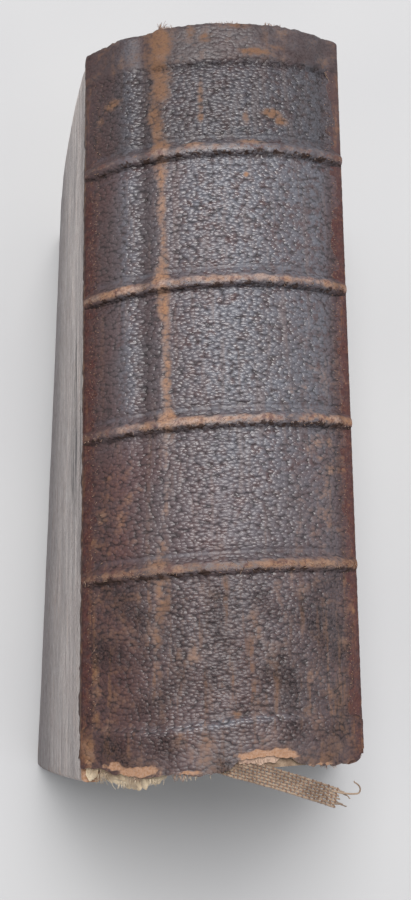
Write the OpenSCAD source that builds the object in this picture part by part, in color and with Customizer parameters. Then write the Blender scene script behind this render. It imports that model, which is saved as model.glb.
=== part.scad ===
// Old leather-bound prayer book, standing on its fore-edge with the spine up.
// X runs across the thickness, from the back cover to the front cover.
// Y runs from the tail of the book to its head, and Z from the fore-edge up to the spine.
// Each cover turns about a line along Y on the outside of its joint.

/* [Book] */
// Height of the covers, from tail to head
book_height = 148; // [120:1:180]
// Height of both joints above the table
joint_height = 97; // [80:1:110]
// Width over both joints
spine_width = 52.4; // [44:0.2:60]
// How far the rounded spine rises above the joints
spine_rise = 10.2; // [7.5:0.1:12]
// Angle by which the old book has racked out of square
rack_angle = 2.8; // [0:0.1:4]

/* [Covers] */
// Thickness of the boards
board_thickness = 2.4; // [1.6:0.1:3.2]
// Thickness of the leather over the boards
cover_leather = 0.9; // [0.6:0.1:1.2]
// Thickness of the pastedowns, and of the turned-in leather round them
pastedown_thickness = 0.4; // [0.3:0.05:0.6]
// Width of the leather turned in round the inside of each cover
turn_in = 12; // [6:1:20]
// Outward lean of the back cover
back_splay = 10.5; // [4:0.5:11.5]
// Outward lean of the front cover
front_splay = 4; // [3:0.5:8]
// Outward bow of each cover between joint and fore-edge
cover_bow = 1.6; // [0.8:0.1:2.4]
// Radius of the corners at the fore-edge
corner_radius = 4; // [2:0.5:8]
// Gap between the spine leather and the cover leather at each joint
joint_gap = 0.4; // [0.3:0.1:0.8]
// How far the top edge of each board stays below its joint
board_setback = 1; // [0.8:0.1:1.6]

/* [Pages] */
// How far the covers reach past the pages at head and tail
end_square = 3; // [2.6:0.1:4.5]
// How far the covers reach past the pages at the fore-edge
fore_edge_square = 2; // [1:0.5:4]
// Depth of the hollow in the fore-edge
fore_edge_hollow = 7; // [4:0.5:9]
// Thickness of each flyleaf
flyleaf_thickness = 0.3; // [0.2:0.05:0.5]
// Room between each flyleaf and its cover
cover_room = 0.3; // [0.3:0.05:0.6]

/* [Spine] */
// Thickness of the leather over the spine
spine_leather_thickness = 1.1; // [0.8:0.1:1.4]
// Thickness of the lining on the back of the pages
lining_thickness = 0.5; // [0.3:0.05:0.7]
// Diameter of the cords under the raised bands
cord_diameter = 2.2; // [1.8:0.1:3]
// Height of the middle of each cord above the back of the pages
cord_lift = 1.05; // [0.7:0.05:1.1]
// Thickness of the leather over the cords
band_leather = 0.55; // [0.45:0.05:1]
// Distance of the first band from the head
first_band = 27.65; // [20:0.05:30]
// Distance between bands
band_pitch = 27.7; // [20:0.1:28.5]
// How far above the joints the bands stop
band_stop = 2.6; // [2.2:0.1:4]
// Extra thickness where the leather is turned in at head and tail
turn_in_step = 0.35; // [0.2:0.05:0.5]
// Length of the turned-in leather at the head
head_turn_in = 8.5; // [6:0.5:12]
// Length of the turned-in leather at the tail
tail_turn_in = 10; // [7:0.5:12]
// Deepest tear in the tail edge
tear_depth = 2.9; // [1:0.1:3.4]

/* [Endbands] */
// Diameter of the bead of the head band
bead_diameter = 2; // [1.4:0.1:2]
// Thickness of the leather cap over the head band
cap_thickness = 0.8; // [0.4:0.1:0.9]
// How far the cap reaches down over the end of the pages
cap_depth = 2.4; // [1.6:0.1:3]
// Width of the woven tail band
tail_band_width = 4.2; // [3:0.1:5]
// Thickness of the woven tail band
tail_band_thickness = 0.8; // [0.5:0.1:1]
// Where the tail band comes loose, measured from the middle of the spine
tail_band_start = 3; // [3:0.1:5]
// Length of the loose part of the tail band across the book
tail_band_reach = 17.5; // [12:0.5:19]
// Angle at which the loose tail band leaves the tail edge
tail_band_angle = 16; // [8:1:24]
// How far the loose end lifts off the curve of the spine
tail_band_lift = 1.8; // [0:0.1:4]

/* [Hidden] */

// A length that is longer than the book, for cutting shapes
reach = 400;
// Clearance between a cord and the leather over it
cord_fit = 0.05;
// Room between the lining patches and the cords
lining_room = 0.3;
// Glue between the lining and the leather
glue_line = 0.1;

half_width = spine_width / 2;
half_height = book_height / 2;
page_height = book_height - 2 * end_square;
rack_shift = half_width * tan(rack_angle);

// Radii of the layers of the spine, all about one line along Y
spine_radius = arc_radius(half_width, spine_rise);
leather_inner_radius = spine_radius - spine_leather_thickness;
lining_radius = leather_inner_radius - glue_line;
back_radius = lining_radius - lining_thickness;
cord_radius = back_radius + cord_lift;
spine_centre = joint_height + spine_rise - spine_radius;

// Depths of the layers of each cover, measured in from its outer face
board_face = cover_leather;
pastedown_face = board_face + board_thickness;
cover_depth = pastedown_face + pastedown_thickness;
flyleaf_face = cover_depth + cover_room;
page_face = flyleaf_face + flyleaf_thickness;

// Where the edges of the pages lie along the fore-edge
page_front = half_width + (joint_height - fore_edge_square) * tan(front_splay) - page_face;
page_back = half_width + (joint_height - fore_edge_square) * tan(back_splay) - page_face;

// Shift that brings the middle of the whole book, with its loose tail band, over the origin
frame_x = joint_height * (tan(back_splay) - tan(front_splay)) / 2;
tail_tip = min([
  for (side = [-1, 1])
    let (corner = strip_corner(1, side * tail_band_width / 2, 0))
    corner[0] * sin(rack_angle) + (corner[1] + half_height) * cos(rack_angle) - half_height
]);
frame_y = -(half_height + rack_shift + tail_tip) / 2;

leather_colour = [0.17, 0.13, 0.13];
paper_colour = [0.80, 0.74, 0.62];
cloth_colour = [0.66, 0.58, 0.48];
board_colour = [0.55, 0.47, 0.37];

// Leather lost along the torn tail edge, from the back joint to the front joint:
// the place as a part of the half width, then the depth as a part of the deepest tear
tear_line = [
  [-1.1, 0.9], [-0.86, 0.82], [-0.75, 0.5], [-0.6, 0.16], [-0.36, 0.24], [-0.16, 0.1],
  [0.02, 0.2], [0.1, 0.82], [0.3, 1], [0.46, 0.78], [0.58, 0.2], [0.82, 0.14], [1.1, 0.1]
];

function arc_radius(half_chord, rise) = (half_chord * half_chord + rise * rise) / (2 * rise);
function cover_radius(splay) = arc_radius(joint_height / cos(splay) / 2, cover_bow);
function cover_centre(splay) =
  let (inward = cover_radius(splay) - cover_bow)
  [
    half_width + joint_height / 2 * tan(splay) - inward * cos(splay),
    joint_height / 2 - inward * sin(splay)
  ];
function band_y(i) = half_height - first_band - i * band_pitch;

// Puts a finished piece into the frame of the whole book
module in_frame() {
  translate([frame_x, frame_y, 0]) children();
}

// Extrudes a section, drawn with X across and Y up, along the height of the book
module along_book(length) {
  rotate([90, 0, 0]) linear_extrude(length, center = true) children();
}

// The part of the plane above one level
module above(level) {
  translate([-reach / 2, level]) square(reach);
}

// Everything between two racked cuts square to the bands
module racked_between(low, high) {
  rotate([0, 0, rack_angle])
    translate([-reach / 2, low * cos(rack_angle), -reach / 2])
      cube([reach, (high - low) * cos(rack_angle), reach]);
}

// Turns what is drawn square at the tail edge so that it follows the racked edge
module racked_tail() {
  translate([0, -half_height, 0])
    rotate([0, 0, rack_angle])
      translate([0, half_height, 0])
        children();
}

module spine_disc(radius) {
  translate([0, spine_centre]) circle(radius, $fn = 256);
}

// A layer of the rounded spine, above one level
module spine_layer(inner, outer, level) {
  intersection() {
    difference() {
      spine_disc(outer);
      spine_disc(inner);
    }
    above(level);
  }
}

// A ring of round section across the spine at one place along it, kept above one level
module cross_ring(y, ring_radius, tube_radius, level) {
  intersection() {
    translate([0, y, spine_centre])
      rotate([0, 0, rack_angle])
        rotate([90, 0, 0])
          rotate_extrude(angle = 180, $fn = 256)
            translate([ring_radius, 0])
              circle(tube_radius, $fn = 48);
    translate([-reach / 2, -reach / 2, level]) cube(reach);
  }
}

// Everything on the inner side of one depth in a front cover that leans by the splay
module inside_cover(splay, depth) {
  translate(cover_centre(splay)) circle(cover_radius(splay) - depth, $fn = 256);
}

// One bowed layer of a front cover, with an outline that is rounded at the fore-edge
module cover_layer(splay, outer_depth, inner_depth, margin, bottom, top, radius) {
  half = half_height - margin;
  intersection() {
    along_book(reach)
      intersection() {
        difference() {
          inside_cover(splay, outer_depth);
          inside_cover(splay, inner_depth);
        }
        translate([0, -reach / 4]) square(reach);
      }
    rotate([90, 0, 90])
      linear_extrude(reach)
        union() {
          translate([-half, bottom + radius]) square([2 * half, top - bottom - radius]);
          translate([radius - half, bottom]) square([2 * (half - radius), radius * 2]);
          for (side = [-1, 1])
            translate([side * (half - radius), bottom + radius]) circle(radius, $fn = 48);
        }
  }
}

module cover_board(splay) {
  cover_layer(
    splay, board_face, pastedown_face, cover_leather, cover_leather,
    joint_height - board_setback, corner_radius - cover_leather
  );
}

module cover_pastedown(splay) {
  cover_layer(
    splay, pastedown_face, cover_depth, turn_in, turn_in,
    joint_height - board_setback, corner_radius / 2
  );
}

// The leather wraps the board and turns in round the pastedown
module cover_skin(splay) {
  difference() {
    cover_layer(
      splay, 0, cover_depth, 0, 0, joint_height - joint_gap / 2, corner_radius
    );
    cover_board(splay);
    cover_layer(
      splay, pastedown_face - glue_line, cover_depth + 1, turn_in, turn_in,
      joint_height + 1, corner_radius / 2
    );
  }
}

// Puts a cover in its place on the racked book
module front_side() {
  translate([0, rack_shift, 0]) children();
}

module back_side() {
  translate([0, -rack_shift, 0]) mirror([1, 0, 0]) children();
}

// The inside of the pages in section: rounded at the back, hollow at the fore-edge
module page_section(front_depth, back_depth) {
  fore_edge_half = (page_front + page_back) / 2;
  fore_edge_radius = arc_radius(fore_edge_half, fore_edge_hollow);
  difference() {
    intersection() {
      union() {
        spine_disc(back_radius);
        above(joint_height - reach);
      }
      inside_cover(front_splay, front_depth);
      mirror([1, 0]) inside_cover(back_splay, back_depth);
      above(fore_edge_square);
    }
    translate([
      (page_front - page_back) / 2,
      fore_edge_square + fore_edge_hollow - fore_edge_radius
    ])
      circle(fore_edge_radius, $fn = 256);
  }
}

module text_block() {
  color(paper_colour) in_frame()
    intersection() {
      along_book(reach) page_section(page_face, page_face);
      racked_between(-page_height / 2, page_height / 2);
    }
}

module front_flyleaf() {
  color(paper_colour) in_frame()
    intersection() {
      along_book(reach)
        difference() {
          page_section(flyleaf_face, page_face);
          inside_cover(front_splay, page_face);
        }
      racked_between(-page_height / 2, page_height / 2);
    }
}

module back_flyleaf() {
  color(paper_colour) in_frame()
    intersection() {
      along_book(reach)
        difference() {
          page_section(page_face, flyleaf_face);
          mirror([1, 0]) inside_cover(back_splay, page_face);
        }
      racked_between(-page_height / 2, page_height / 2);
    }
}

// One patch of lining between two places along the spine
module lining_patch(low, high) {
  intersection() {
    along_book(reach)
      spine_layer(back_radius, lining_radius, joint_height + band_stop);
    racked_between(low, high);
  }
}

module spine_lining() {
  cord_room = cord_diameter / 2 + lining_room;
  color(cloth_colour) in_frame() {
    lining_patch(band_y(0) + cord_room, half_height - cap_thickness - glue_line);
    for (i = [1:3])
      lining_patch(band_y(i) + cord_room, band_y(i - 1) - cord_room);
    lining_patch(cap_thickness - half_height, band_y(3) - cord_room);
  }
}

// The cord is flattened underneath where it lies on the back of the pages
module band_cord(i) {
  color(cloth_colour) in_frame()
    difference() {
      cross_ring(band_y(i), cord_radius, cord_diameter / 2, joint_height + band_stop);
      along_book(reach) spine_disc(back_radius);
    }
}

module band_cord_1() {
  band_cord(0);
}

module band_cord_2() {
  band_cord(1);
}

module band_cord_3() {
  band_cord(2);
}

module band_cord_4() {
  band_cord(3);
}

// A rolled bead across the head of the pages, under the leather cap
module head_band() {
  bead_y = page_height / 2 + (end_square - cap_thickness) / 2;
  color(cloth_colour) in_frame()
    cross_ring(
      bead_y, back_radius - bead_diameter / 2, bead_diameter / 2, joint_height + band_stop
    );
}

// A woven strip that follows the spine and then stands away from the tail edge
function strip_x(s) = tail_band_start + tail_band_reach * s;
function strip_y(s) =
  end_square / 4 - half_height - tail_band_width / 4
  - tail_band_reach * tan(tail_band_angle) * (0.6 * s * s + 0.4 * s);
function strip_radius(s) =
  leather_inner_radius + lining_room / 2 + tail_band_lift * s * s;
function strip_corner(s, across, up) =
  let (
    turn = asin(strip_x(s) / spine_radius),
    slope = -tail_band_angle * (0.4 + 0.8 * s),
    height = strip_radius(s) + up
  )
  [
    height * sin(turn) - across * sin(slope) * cos(turn),
    strip_y(s) + across * cos(slope),
    spine_centre + height * cos(turn) + across * sin(slope) * sin(turn)
  ];

module tail_band() {
  stations = 16;
  half = tail_band_width / 2;
  corners = [
    for (i = [0:stations])
      let (s = i / stations)
      each [
        strip_corner(s, -half, 0),
        strip_corner(s, half, 0),
        strip_corner(s, half, tail_band_thickness),
        strip_corner(s, -half, tail_band_thickness)
      ]
  ];
  walls = [
    for (i = [0:stations - 1], k = [0:3])
      let (a = 4 * i + k, b = 4 * i + (k + 1) % 4)
      each [[a, a + 4, b], [b, a + 4, b + 4]]
  ];
  last = 4 * stations;
  ends = [[0, 1, 2], [0, 2, 3], [last, last + 2, last + 1], [last, last + 3, last + 2]];
  color(cloth_colour) in_frame()
    racked_tail()
      polyhedron(corners, concat(walls, ends));
}

// The torn strip that is lost from the tail edge, seen from above
module torn_tail() {
  edge = [for (p = tear_line) [p[0] * half_width, p[1] * tear_depth - half_height]];
  outline = concat(
    edge, [[2 * half_width, -half_height - reach / 4], [-2 * half_width, -half_height - reach / 4]]
  );
  racked_tail()
    linear_extrude(reach) polygon(outline);
}

module spine_leather() {
  band_level = joint_height + band_stop;
  color(leather_colour) in_frame()
    difference() {
      union() {
        intersection() {
          along_book(reach)
            spine_layer(leather_inner_radius, spine_radius, joint_height + joint_gap / 2);
          racked_between(-half_height, half_height);
        }
        intersection() {
          along_book(reach)
            spine_layer(leather_inner_radius, spine_radius + turn_in_step, band_level);
          racked_between(half_height - head_turn_in, half_height);
        }
        intersection() {
          along_book(reach)
            spine_layer(leather_inner_radius, spine_radius + turn_in_step, band_level);
          racked_between(-half_height, tail_turn_in - half_height);
        }
        intersection() {
          along_book(reach)
            spine_layer(back_radius - cap_depth, spine_radius, band_level);
          racked_between(half_height - cap_thickness, half_height);
        }
        for (i = [0:3])
          difference() {
            cross_ring(
              band_y(i), cord_radius, cord_diameter / 2 + band_leather, band_level
            );
            along_book(reach) spine_disc(leather_inner_radius);
          }
      }
      for (i = [0:3])
        cross_ring(
          band_y(i), cord_radius, cord_diameter / 2 + cord_fit, band_level - cord_fit
        );
      torn_tail();
    }
}

module front_board() {
  color(board_colour) in_frame() front_side() cover_board(front_splay);
}

module front_cover_leather() {
  color(leather_colour) in_frame() front_side() cover_skin(front_splay);
}

module front_pastedown() {
  color(paper_colour) in_frame() front_side() cover_pastedown(front_splay);
}

module back_board() {
  color(board_colour) in_frame() back_side() cover_board(back_splay);
}

module back_cover_leather() {
  color(leather_colour) in_frame() back_side() cover_skin(back_splay);
}

module back_pastedown() {
  color(paper_colour) in_frame() back_side() cover_pastedown(back_splay);
}

text_block();
front_flyleaf();
back_flyleaf();
spine_lining();
band_cord_1();
band_cord_2();
band_cord_3();
band_cord_4();
head_band();
tail_band();
spine_leather();
front_board();
front_cover_leather();
front_pastedown();
back_board();
back_cover_leather();
back_pastedown();
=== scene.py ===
"""Looks of an old leather breviary that stands on its fore-edge with the spine up.

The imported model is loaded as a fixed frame. Each operator below makes one piece, or a group of like
pieces, in metres and in that frame: X runs across the book, Y from the tail to the head, Z up.
"""

import math

import bmesh
import bpy
import numpy as np
from mathutils import Matrix, Vector, noise


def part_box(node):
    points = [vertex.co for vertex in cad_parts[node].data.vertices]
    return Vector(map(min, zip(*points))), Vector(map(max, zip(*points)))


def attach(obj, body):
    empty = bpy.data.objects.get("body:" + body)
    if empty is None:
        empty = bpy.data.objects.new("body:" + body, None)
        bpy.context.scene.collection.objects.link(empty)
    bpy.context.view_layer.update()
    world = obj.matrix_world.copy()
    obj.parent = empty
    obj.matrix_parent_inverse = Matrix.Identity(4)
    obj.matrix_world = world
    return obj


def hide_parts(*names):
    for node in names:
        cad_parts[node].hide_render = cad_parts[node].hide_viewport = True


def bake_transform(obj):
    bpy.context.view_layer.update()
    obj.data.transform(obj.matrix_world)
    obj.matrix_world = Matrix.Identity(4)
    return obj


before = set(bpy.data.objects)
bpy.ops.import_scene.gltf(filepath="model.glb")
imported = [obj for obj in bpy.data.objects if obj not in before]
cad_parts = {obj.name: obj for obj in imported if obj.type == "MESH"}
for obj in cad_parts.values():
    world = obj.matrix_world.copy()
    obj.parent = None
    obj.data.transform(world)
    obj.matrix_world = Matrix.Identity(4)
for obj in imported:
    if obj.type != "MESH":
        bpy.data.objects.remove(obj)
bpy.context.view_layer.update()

bl_info = {
    "name": "Breviary",
    "version": (1, 0, 0),
    "blender": (4, 5, 0),
    "location": "View3D > Sidebar > Breviary",
    "description": "Dresses the packed breviary with leather, paper, thread and a stage",
    "category": "Object",
}


# Places that come from the frame

def middle_of(node, axis):
    """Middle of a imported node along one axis."""
    low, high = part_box(node)
    return (low[axis] + high[axis]) / 2


MIDDLE_Y = (middle_of("front_cover_leather", 1) + middle_of("back_cover_leather", 1)) / 2


class BreviarySizes(bpy.types.PropertyGroup):
    """Sizes of the book that a user would change."""

    middle_x: bpy.props.FloatProperty(
        name="Middle across", description="X of the middle of the spine in the frame",
        default=0.0055975, unit="LENGTH", precision=5)
    middle_y: bpy.props.FloatProperty(
        name="Middle along", description="Y of the middle of the spine in the frame",
        default=MIDDLE_Y, unit="LENGTH", precision=5)
    book_height: bpy.props.FloatProperty(
        name="Book height", description="Length of the spine from tail to head",
        default=0.148, unit="LENGTH", precision=4)
    half_width: bpy.props.FloatProperty(
        name="Half width", description="From the middle of the spine to each joint",
        default=0.0262, unit="LENGTH", precision=5)
    joint_height: bpy.props.FloatProperty(
        name="Joint height", description="Height of both joints over the floor",
        default=0.097, unit="LENGTH", precision=4)
    spine_rise: bpy.props.FloatProperty(
        name="Spine rise", description="Rise of the rounded spine over the joints",
        default=0.0102, unit="LENGTH", precision=5)
    rack: bpy.props.FloatProperty(
        name="Rack", description="How far the book leans along its joints",
        default=math.radians(2.8), subtype="ANGLE")
    back_splay: bpy.props.FloatProperty(
        name="Back splay", description="How far the back cover stands out",
        default=math.radians(10.5), subtype="ANGLE")
    back_twist: bpy.props.FloatProperty(
        name="Back twist", description="How much more the back cover stands out at its tail",
        default=math.radians(1.25), subtype="ANGLE")
    front_splay: bpy.props.FloatProperty(
        name="Front splay", description="How far the front cover stands out",
        default=math.radians(4.0), subtype="ANGLE")
    cover_bow: bpy.props.FloatProperty(
        name="Cover bow", description="How far each cover bows outwards",
        default=0.0016, unit="LENGTH", precision=5)
    cover_depth: bpy.props.FloatProperty(
        name="Cover depth", description="Thickness of a cover with its leather and paper",
        default=0.0037, unit="LENGTH", precision=5)
    turn_in: bpy.props.FloatProperty(
        name="Turn-in", description="Width of the leather turned in round a cover",
        default=0.012, unit="LENGTH", precision=4)
    end_square: bpy.props.FloatProperty(
        name="End square", description="How far the covers stand past the pages at head and tail",
        default=0.003, unit="LENGTH", precision=4)
    first_band: bpy.props.FloatProperty(
        name="First band", description="From the head to the first raised band",
        default=0.02765, unit="LENGTH", precision=4)
    band_pitch: bpy.props.FloatProperty(
        name="Band pitch", description="From one raised band to the next",
        default=0.0277, unit="LENGTH", precision=4)
    band_rise: bpy.props.FloatProperty(
        name="Band rise", description="How far a band stands over the spine",
        default=0.0010, unit="LENGTH", precision=5)
    tear_depth: bpy.props.FloatProperty(
        name="Tear depth", description="Deepest tear in the tail edge of the spine",
        default=0.0029, unit="LENGTH", precision=5)


class BreviaryColours(bpy.types.PropertyGroup):
    """Colours of the book that a user would change, as linear values."""

    hide_dark: bpy.props.FloatVectorProperty(
        name="Hide", description="Dark leather", size=3, subtype="COLOR", min=0, max=1,
        default=(0.056, 0.041, 0.043))
    # The colour of a cool sheen painted into the leather, which stands in for reflected light
    hide_cool: bpy.props.FloatVectorProperty(
        name="Polished hide", description="Leather with a cool polish", size=3, subtype="COLOR",
        min=0, max=1, default=(0.080, 0.080, 0.095))
    hide_red: bpy.props.FloatVectorProperty(
        name="Dried hide", description="Leather that has gone red-brown", size=3, subtype="COLOR",
        min=0, max=1, default=(0.066, 0.026, 0.024))
    hide_rubbed: bpy.props.FloatVectorProperty(
        name="Rubbed hide", description="Leather worn through its black surface", size=3,
        subtype="COLOR", min=0, max=1, default=(0.212, 0.110, 0.058))
    hide_chafed: bpy.props.FloatVectorProperty(
        name="Chafed hide", description="Leather rubbed to a pale pinkish grey", size=3,
        subtype="COLOR", min=0, max=1, default=(0.275, 0.195, 0.160))
    flesh: bpy.props.FloatVectorProperty(
        name="Flesh side", description="Torn leather", size=3, subtype="COLOR", min=0, max=1,
        default=(0.27, 0.168, 0.118))
    paper: bpy.props.FloatVectorProperty(
        name="Paper", description="Aged paper", size=3, subtype="COLOR", min=0, max=1,
        default=(0.66, 0.555, 0.385))
    thread: bpy.props.FloatVectorProperty(
        name="Thread", description="Linen thread of the endbands", size=3, subtype="COLOR",
        min=0, max=1, default=(0.25, 0.18, 0.125))
    floor: bpy.props.FloatVectorProperty(
        name="Floor", description="Pale floor", size=3, subtype="COLOR", min=0, max=1,
        default=(0.365, 0.365, 0.37))


def sizes():
    """The sizes in use."""
    return bpy.context.scene.breviary_sizes


def colour(name):
    """A colour in use, with its alpha."""
    return (*getattr(bpy.context.scene.breviary_colours, name), 1.0)


# Forms of the book, on arrays of points

def smooth_step(value, low, high):
    """0 below low, 1 above high, and smooth between them."""
    share = np.clip((value - low) / (high - low), 0, 1)
    return share * share * (3 - 2 * share)


def bump_at(value, middle, half_width):
    """A smooth hump of height 1 round one value."""
    return np.exp(-((value - middle) / half_width) ** 2)


def noise_at(points, scale, seed, octaves=1):
    """Smooth noise from about -1 to 1 at each point."""
    shift = Vector((seed * 7.13, seed * 3.71, seed * 1.93))
    if octaves == 1:
        return np.array([noise.noise(Vector(p) * scale + shift) for p in points])
    return np.array([
        noise.fractal(Vector(p) * scale + shift, 1.0, 2.0, octaves) for p in points])


def spine_radius():
    """Radius of the outside of the rounded spine."""
    book = sizes()
    return (book.half_width ** 2 + book.spine_rise ** 2) / (2 * book.spine_rise)


def spine_centre():
    """Height of the middle line of the rounded spine."""
    book = sizes()
    return book.joint_height + book.spine_rise - spine_radius()


def on_spine(turn, along, lift):
    """Points of the frame on the rounded spine: turn is the angle from the crown to the front,
    along runs from the tail to the head, and lift stands out from the leather."""
    book = sizes()
    radius = spine_radius() + lift
    across = radius * np.sin(turn)
    height = spine_centre() + radius * np.cos(turn)
    racked = along + across * math.tan(book.rack)
    return np.stack([across + book.middle_x, racked + book.middle_y, height], axis=1)


def spine_spot(across, along, lift):
    """One point of the frame on the rounded spine."""
    turn = np.array([math.asin(across / spine_radius())])
    return tuple(on_spine(turn, np.array([along]), np.array([lift]))[0])


# The two covers: side across the book, and the word in their names
SIDES = ((1, "front"), (-1, "back"))


def cover_face(side, height, along):
    """Distance of a cover's outer face from the middle of the spine. Side is 1 at the front, -1 at
    the back, which is twisted."""
    book = sizes()
    if side > 0:
        splay = np.full_like(along, book.front_splay)
    else:
        splay = book.back_splay - book.back_twist * along / (book.book_height / 2)
    drop = book.joint_height - height
    share = np.clip(drop / book.joint_height, 0, 1)
    bow = book.cover_bow * 4 * share * (1 - share) / np.cos(splay)
    return book.half_width + drop * np.tan(splay) + bow, splay


def in_cover(side, depth, along, height):
    """Points of the frame in a cover: depth is from its outer face, along from tail to head."""
    book = sizes()
    face, splay = cover_face(side, height, along)
    across = side * (face - depth / np.cos(splay))
    shift = side * book.half_width * math.tan(book.rack)
    return np.stack([across + book.middle_x, along + shift + book.middle_y, height], axis=1)


# How far each band has crept towards the head, all along and at the front joint, in metres
BAND_DRIFT = (0.0, 0.0003, 0.0, 0.0)
BAND_TILT = (0.0003, 0.0, 0.0003, 0.0)


def band_places():
    """Places of the four raised bands along the spine."""
    book = sizes()
    first = book.book_height / 2 - book.first_band
    return [first - i * book.band_pitch + BAND_DRIFT[i] for i in range(4)]


# Tools for modelling

def clear_selection():
    """Leaves edit mode and selects nothing."""
    if bpy.context.object is not None and bpy.context.object.mode != "OBJECT":
        bpy.ops.object.mode_set(mode="OBJECT")
    bpy.ops.object.select_all(action="DESELECT")


def use(piece):
    """Makes one object the only selected and active one."""
    clear_selection()
    piece.select_set(True)
    bpy.context.view_layer.objects.active = piece


def edit_all(piece):
    """Opens a piece in edit mode with all of it selected."""
    use(piece)
    bpy.ops.object.mode_set(mode="EDIT")
    bpy.ops.mesh.select_all(action="SELECT")


def close_edit():
    """Goes back to object mode."""
    bpy.ops.object.mode_set(mode="OBJECT")


def add_grid(name, columns, rows):
    """A flat grid from -1 to 1 each way."""
    clear_selection()
    bpy.ops.mesh.primitive_grid_add(x_subdivisions=columns, y_subdivisions=rows, size=2)
    piece = bpy.context.object
    piece.name = name
    piece.data.name = name
    return piece


def add_slab(name, low, high):
    """A box between two corners, with its place in its mesh."""
    clear_selection()
    low, high = Vector(low), Vector(high)
    bpy.ops.mesh.primitive_cube_add(size=1, location=(low + high) / 2)
    piece = bpy.context.object
    piece.scale = high - low
    bpy.ops.object.transform_apply(location=True, rotation=True, scale=True)
    piece.name = name
    piece.data.name = name
    return piece


def choose(piece, kind, test):
    """In edit mode, selects the faces, edges or vertices that pass the test."""
    use(piece)
    bpy.ops.object.mode_set(mode="EDIT")
    bpy.ops.mesh.select_mode(type=kind)
    bpy.ops.mesh.select_all(action="DESELECT")
    made = bmesh.from_edit_mesh(piece.data)
    made.normal_update()
    elements = {"FACE": made.faces, "EDGE": made.edges, "VERT": made.verts}[kind]
    found = [element for element in elements if test(element)]
    if not found:
        raise RuntimeError(f"nothing to select on {piece.name}")
    for element in found:
        element.select_set(True)
    made.select_flush_mode()
    bmesh.update_edit_mesh(piece.data)


def cut_across(piece, axis, places):
    """Bisects a piece square to one axis at each place."""
    direction = [0.0, 0.0, 0.0]
    direction[axis] = 1.0
    edit_all(piece)
    for cut in places:
        point = [0.0, 0.0, 0.0]
        point[axis] = cut
        bpy.ops.mesh.select_all(action="SELECT")
        bpy.ops.mesh.bisect(plane_co=point, plane_no=direction)
    close_edit()


def points_of(piece):
    """The vertices of a piece as an array."""
    flat = np.zeros(len(piece.data.vertices) * 3)
    piece.data.vertices.foreach_get("co", flat)
    return flat.reshape(-1, 3)


def set_points(piece, points):
    """Moves the vertices of a piece to the points given."""
    piece.data.vertices.foreach_set("co", np.asarray(points, float).ravel())
    piece.data.update()


def set_masks(piece, masks):
    """Stores numbers from 0 to 1 for each vertex, for the materials, by their names."""
    count = len(piece.data.vertices)
    for name, values in masks.items():
        layer = piece.data.attributes.new(name, "FLOAT", "POINT")
        layer.data.foreach_set("value", np.full(count, np.clip(values, 0, 1), np.float32))


def outward(piece):
    """Turns every face outwards."""
    edit_all(piece)
    bpy.ops.mesh.normals_make_consistent(inside=False)
    close_edit()


def flip(piece):
    """Turns every face of an open sheet round."""
    edit_all(piece)
    bpy.ops.mesh.flip_normals()
    close_edit()


def thicken(piece, thickness, torn_material=0):
    """Gives a sheet its thickness, inwards from its outer side. The rim and the inner side take the
    material of that number."""
    use(piece)
    solid = piece.modifiers.new("Thickness", "SOLIDIFY")
    solid.thickness = thickness
    solid.offset = -1
    solid.use_even_offset = False
    solid.material_offset = torn_material
    solid.material_offset_rim = torn_material
    bpy.ops.object.modifier_apply(modifier=solid.name)


def soften(piece, angle):
    """Smooth shading except at edges sharper than the angle, in degrees."""
    use(piece)
    bpy.ops.object.shade_smooth_by_angle(angle=math.radians(angle))


def add_threads(name, paths, radius, roundness):
    """Threads that follow the paths given, as one mesh. Each path is points and a share of the
    radius at each one."""
    clear_selection()
    lines = bpy.data.curves.new(name, "CURVE")
    lines.dimensions = "3D"
    lines.bevel_depth = radius
    lines.bevel_resolution = roundness
    lines.use_fill_caps = True
    for points, shares in paths:
        line = lines.splines.new("POLY")
        line.points.add(len(points) - 1)
        for knot, point, share in zip(line.points, points, shares):
            knot.co = (*point, 1.0)
            knot.radius = share
    piece = bpy.data.objects.new(name, lines)
    bpy.context.scene.collection.objects.link(piece)
    use(piece)
    bpy.ops.object.convert(target="MESH")
    piece = bpy.context.object
    piece.name = name
    bpy.ops.object.shade_smooth()
    return piece


# Tools for materials

def new_finish(name):
    """An empty material with its shader and output, and its node tree."""
    finish = bpy.data.materials.new(name)
    finish.use_nodes = True
    tree = finish.node_tree
    tree.nodes.clear()
    output = tree.nodes.new("ShaderNodeOutputMaterial")
    shader = tree.nodes.new("ShaderNodeBsdfPrincipled")
    tree.links.new(shader.outputs["BSDF"], output.inputs["Surface"])
    return finish, tree, shader


def put(tree, socket, value):
    """Links a socket to another, or sets its value."""
    if isinstance(value, bpy.types.NodeSocket):
        tree.links.new(value, socket)
    else:
        socket.default_value = value


def add(tree, kind, inputs=None, **settings):
    """One node with its settings and inputs."""
    made = tree.nodes.new(kind)
    for key, value in settings.items():
        setattr(made, key, value)
    for key, value in (inputs or {}).items():
        put(tree, made.inputs[key], value)
    return made


def mix(tree, share, first, second):
    """Colour between two colours."""
    made = add(tree, "ShaderNodeMix", data_type="RGBA")
    put(tree, made.inputs[0], share)
    put(tree, made.inputs[6], first)
    put(tree, made.inputs[7], second)
    return made.outputs[2]


def sum_of(tree, operation, first, second, clamp=False):
    """One sum on two numbers."""
    made = add(tree, "ShaderNodeMath", operation=operation, use_clamp=clamp)
    put(tree, made.inputs[0], first)
    put(tree, made.inputs[1], second)
    return made.outputs[0]


def times(tree, first, second):
    """One number times another."""
    return sum_of(tree, "MULTIPLY", first, second)


def plus(tree, first, second, clamp=False):
    """One number and another."""
    return sum_of(tree, "ADD", first, second, clamp)


def minus(tree, first, second, clamp=False):
    """One number less another."""
    return sum_of(tree, "SUBTRACT", first, second, clamp)


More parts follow.
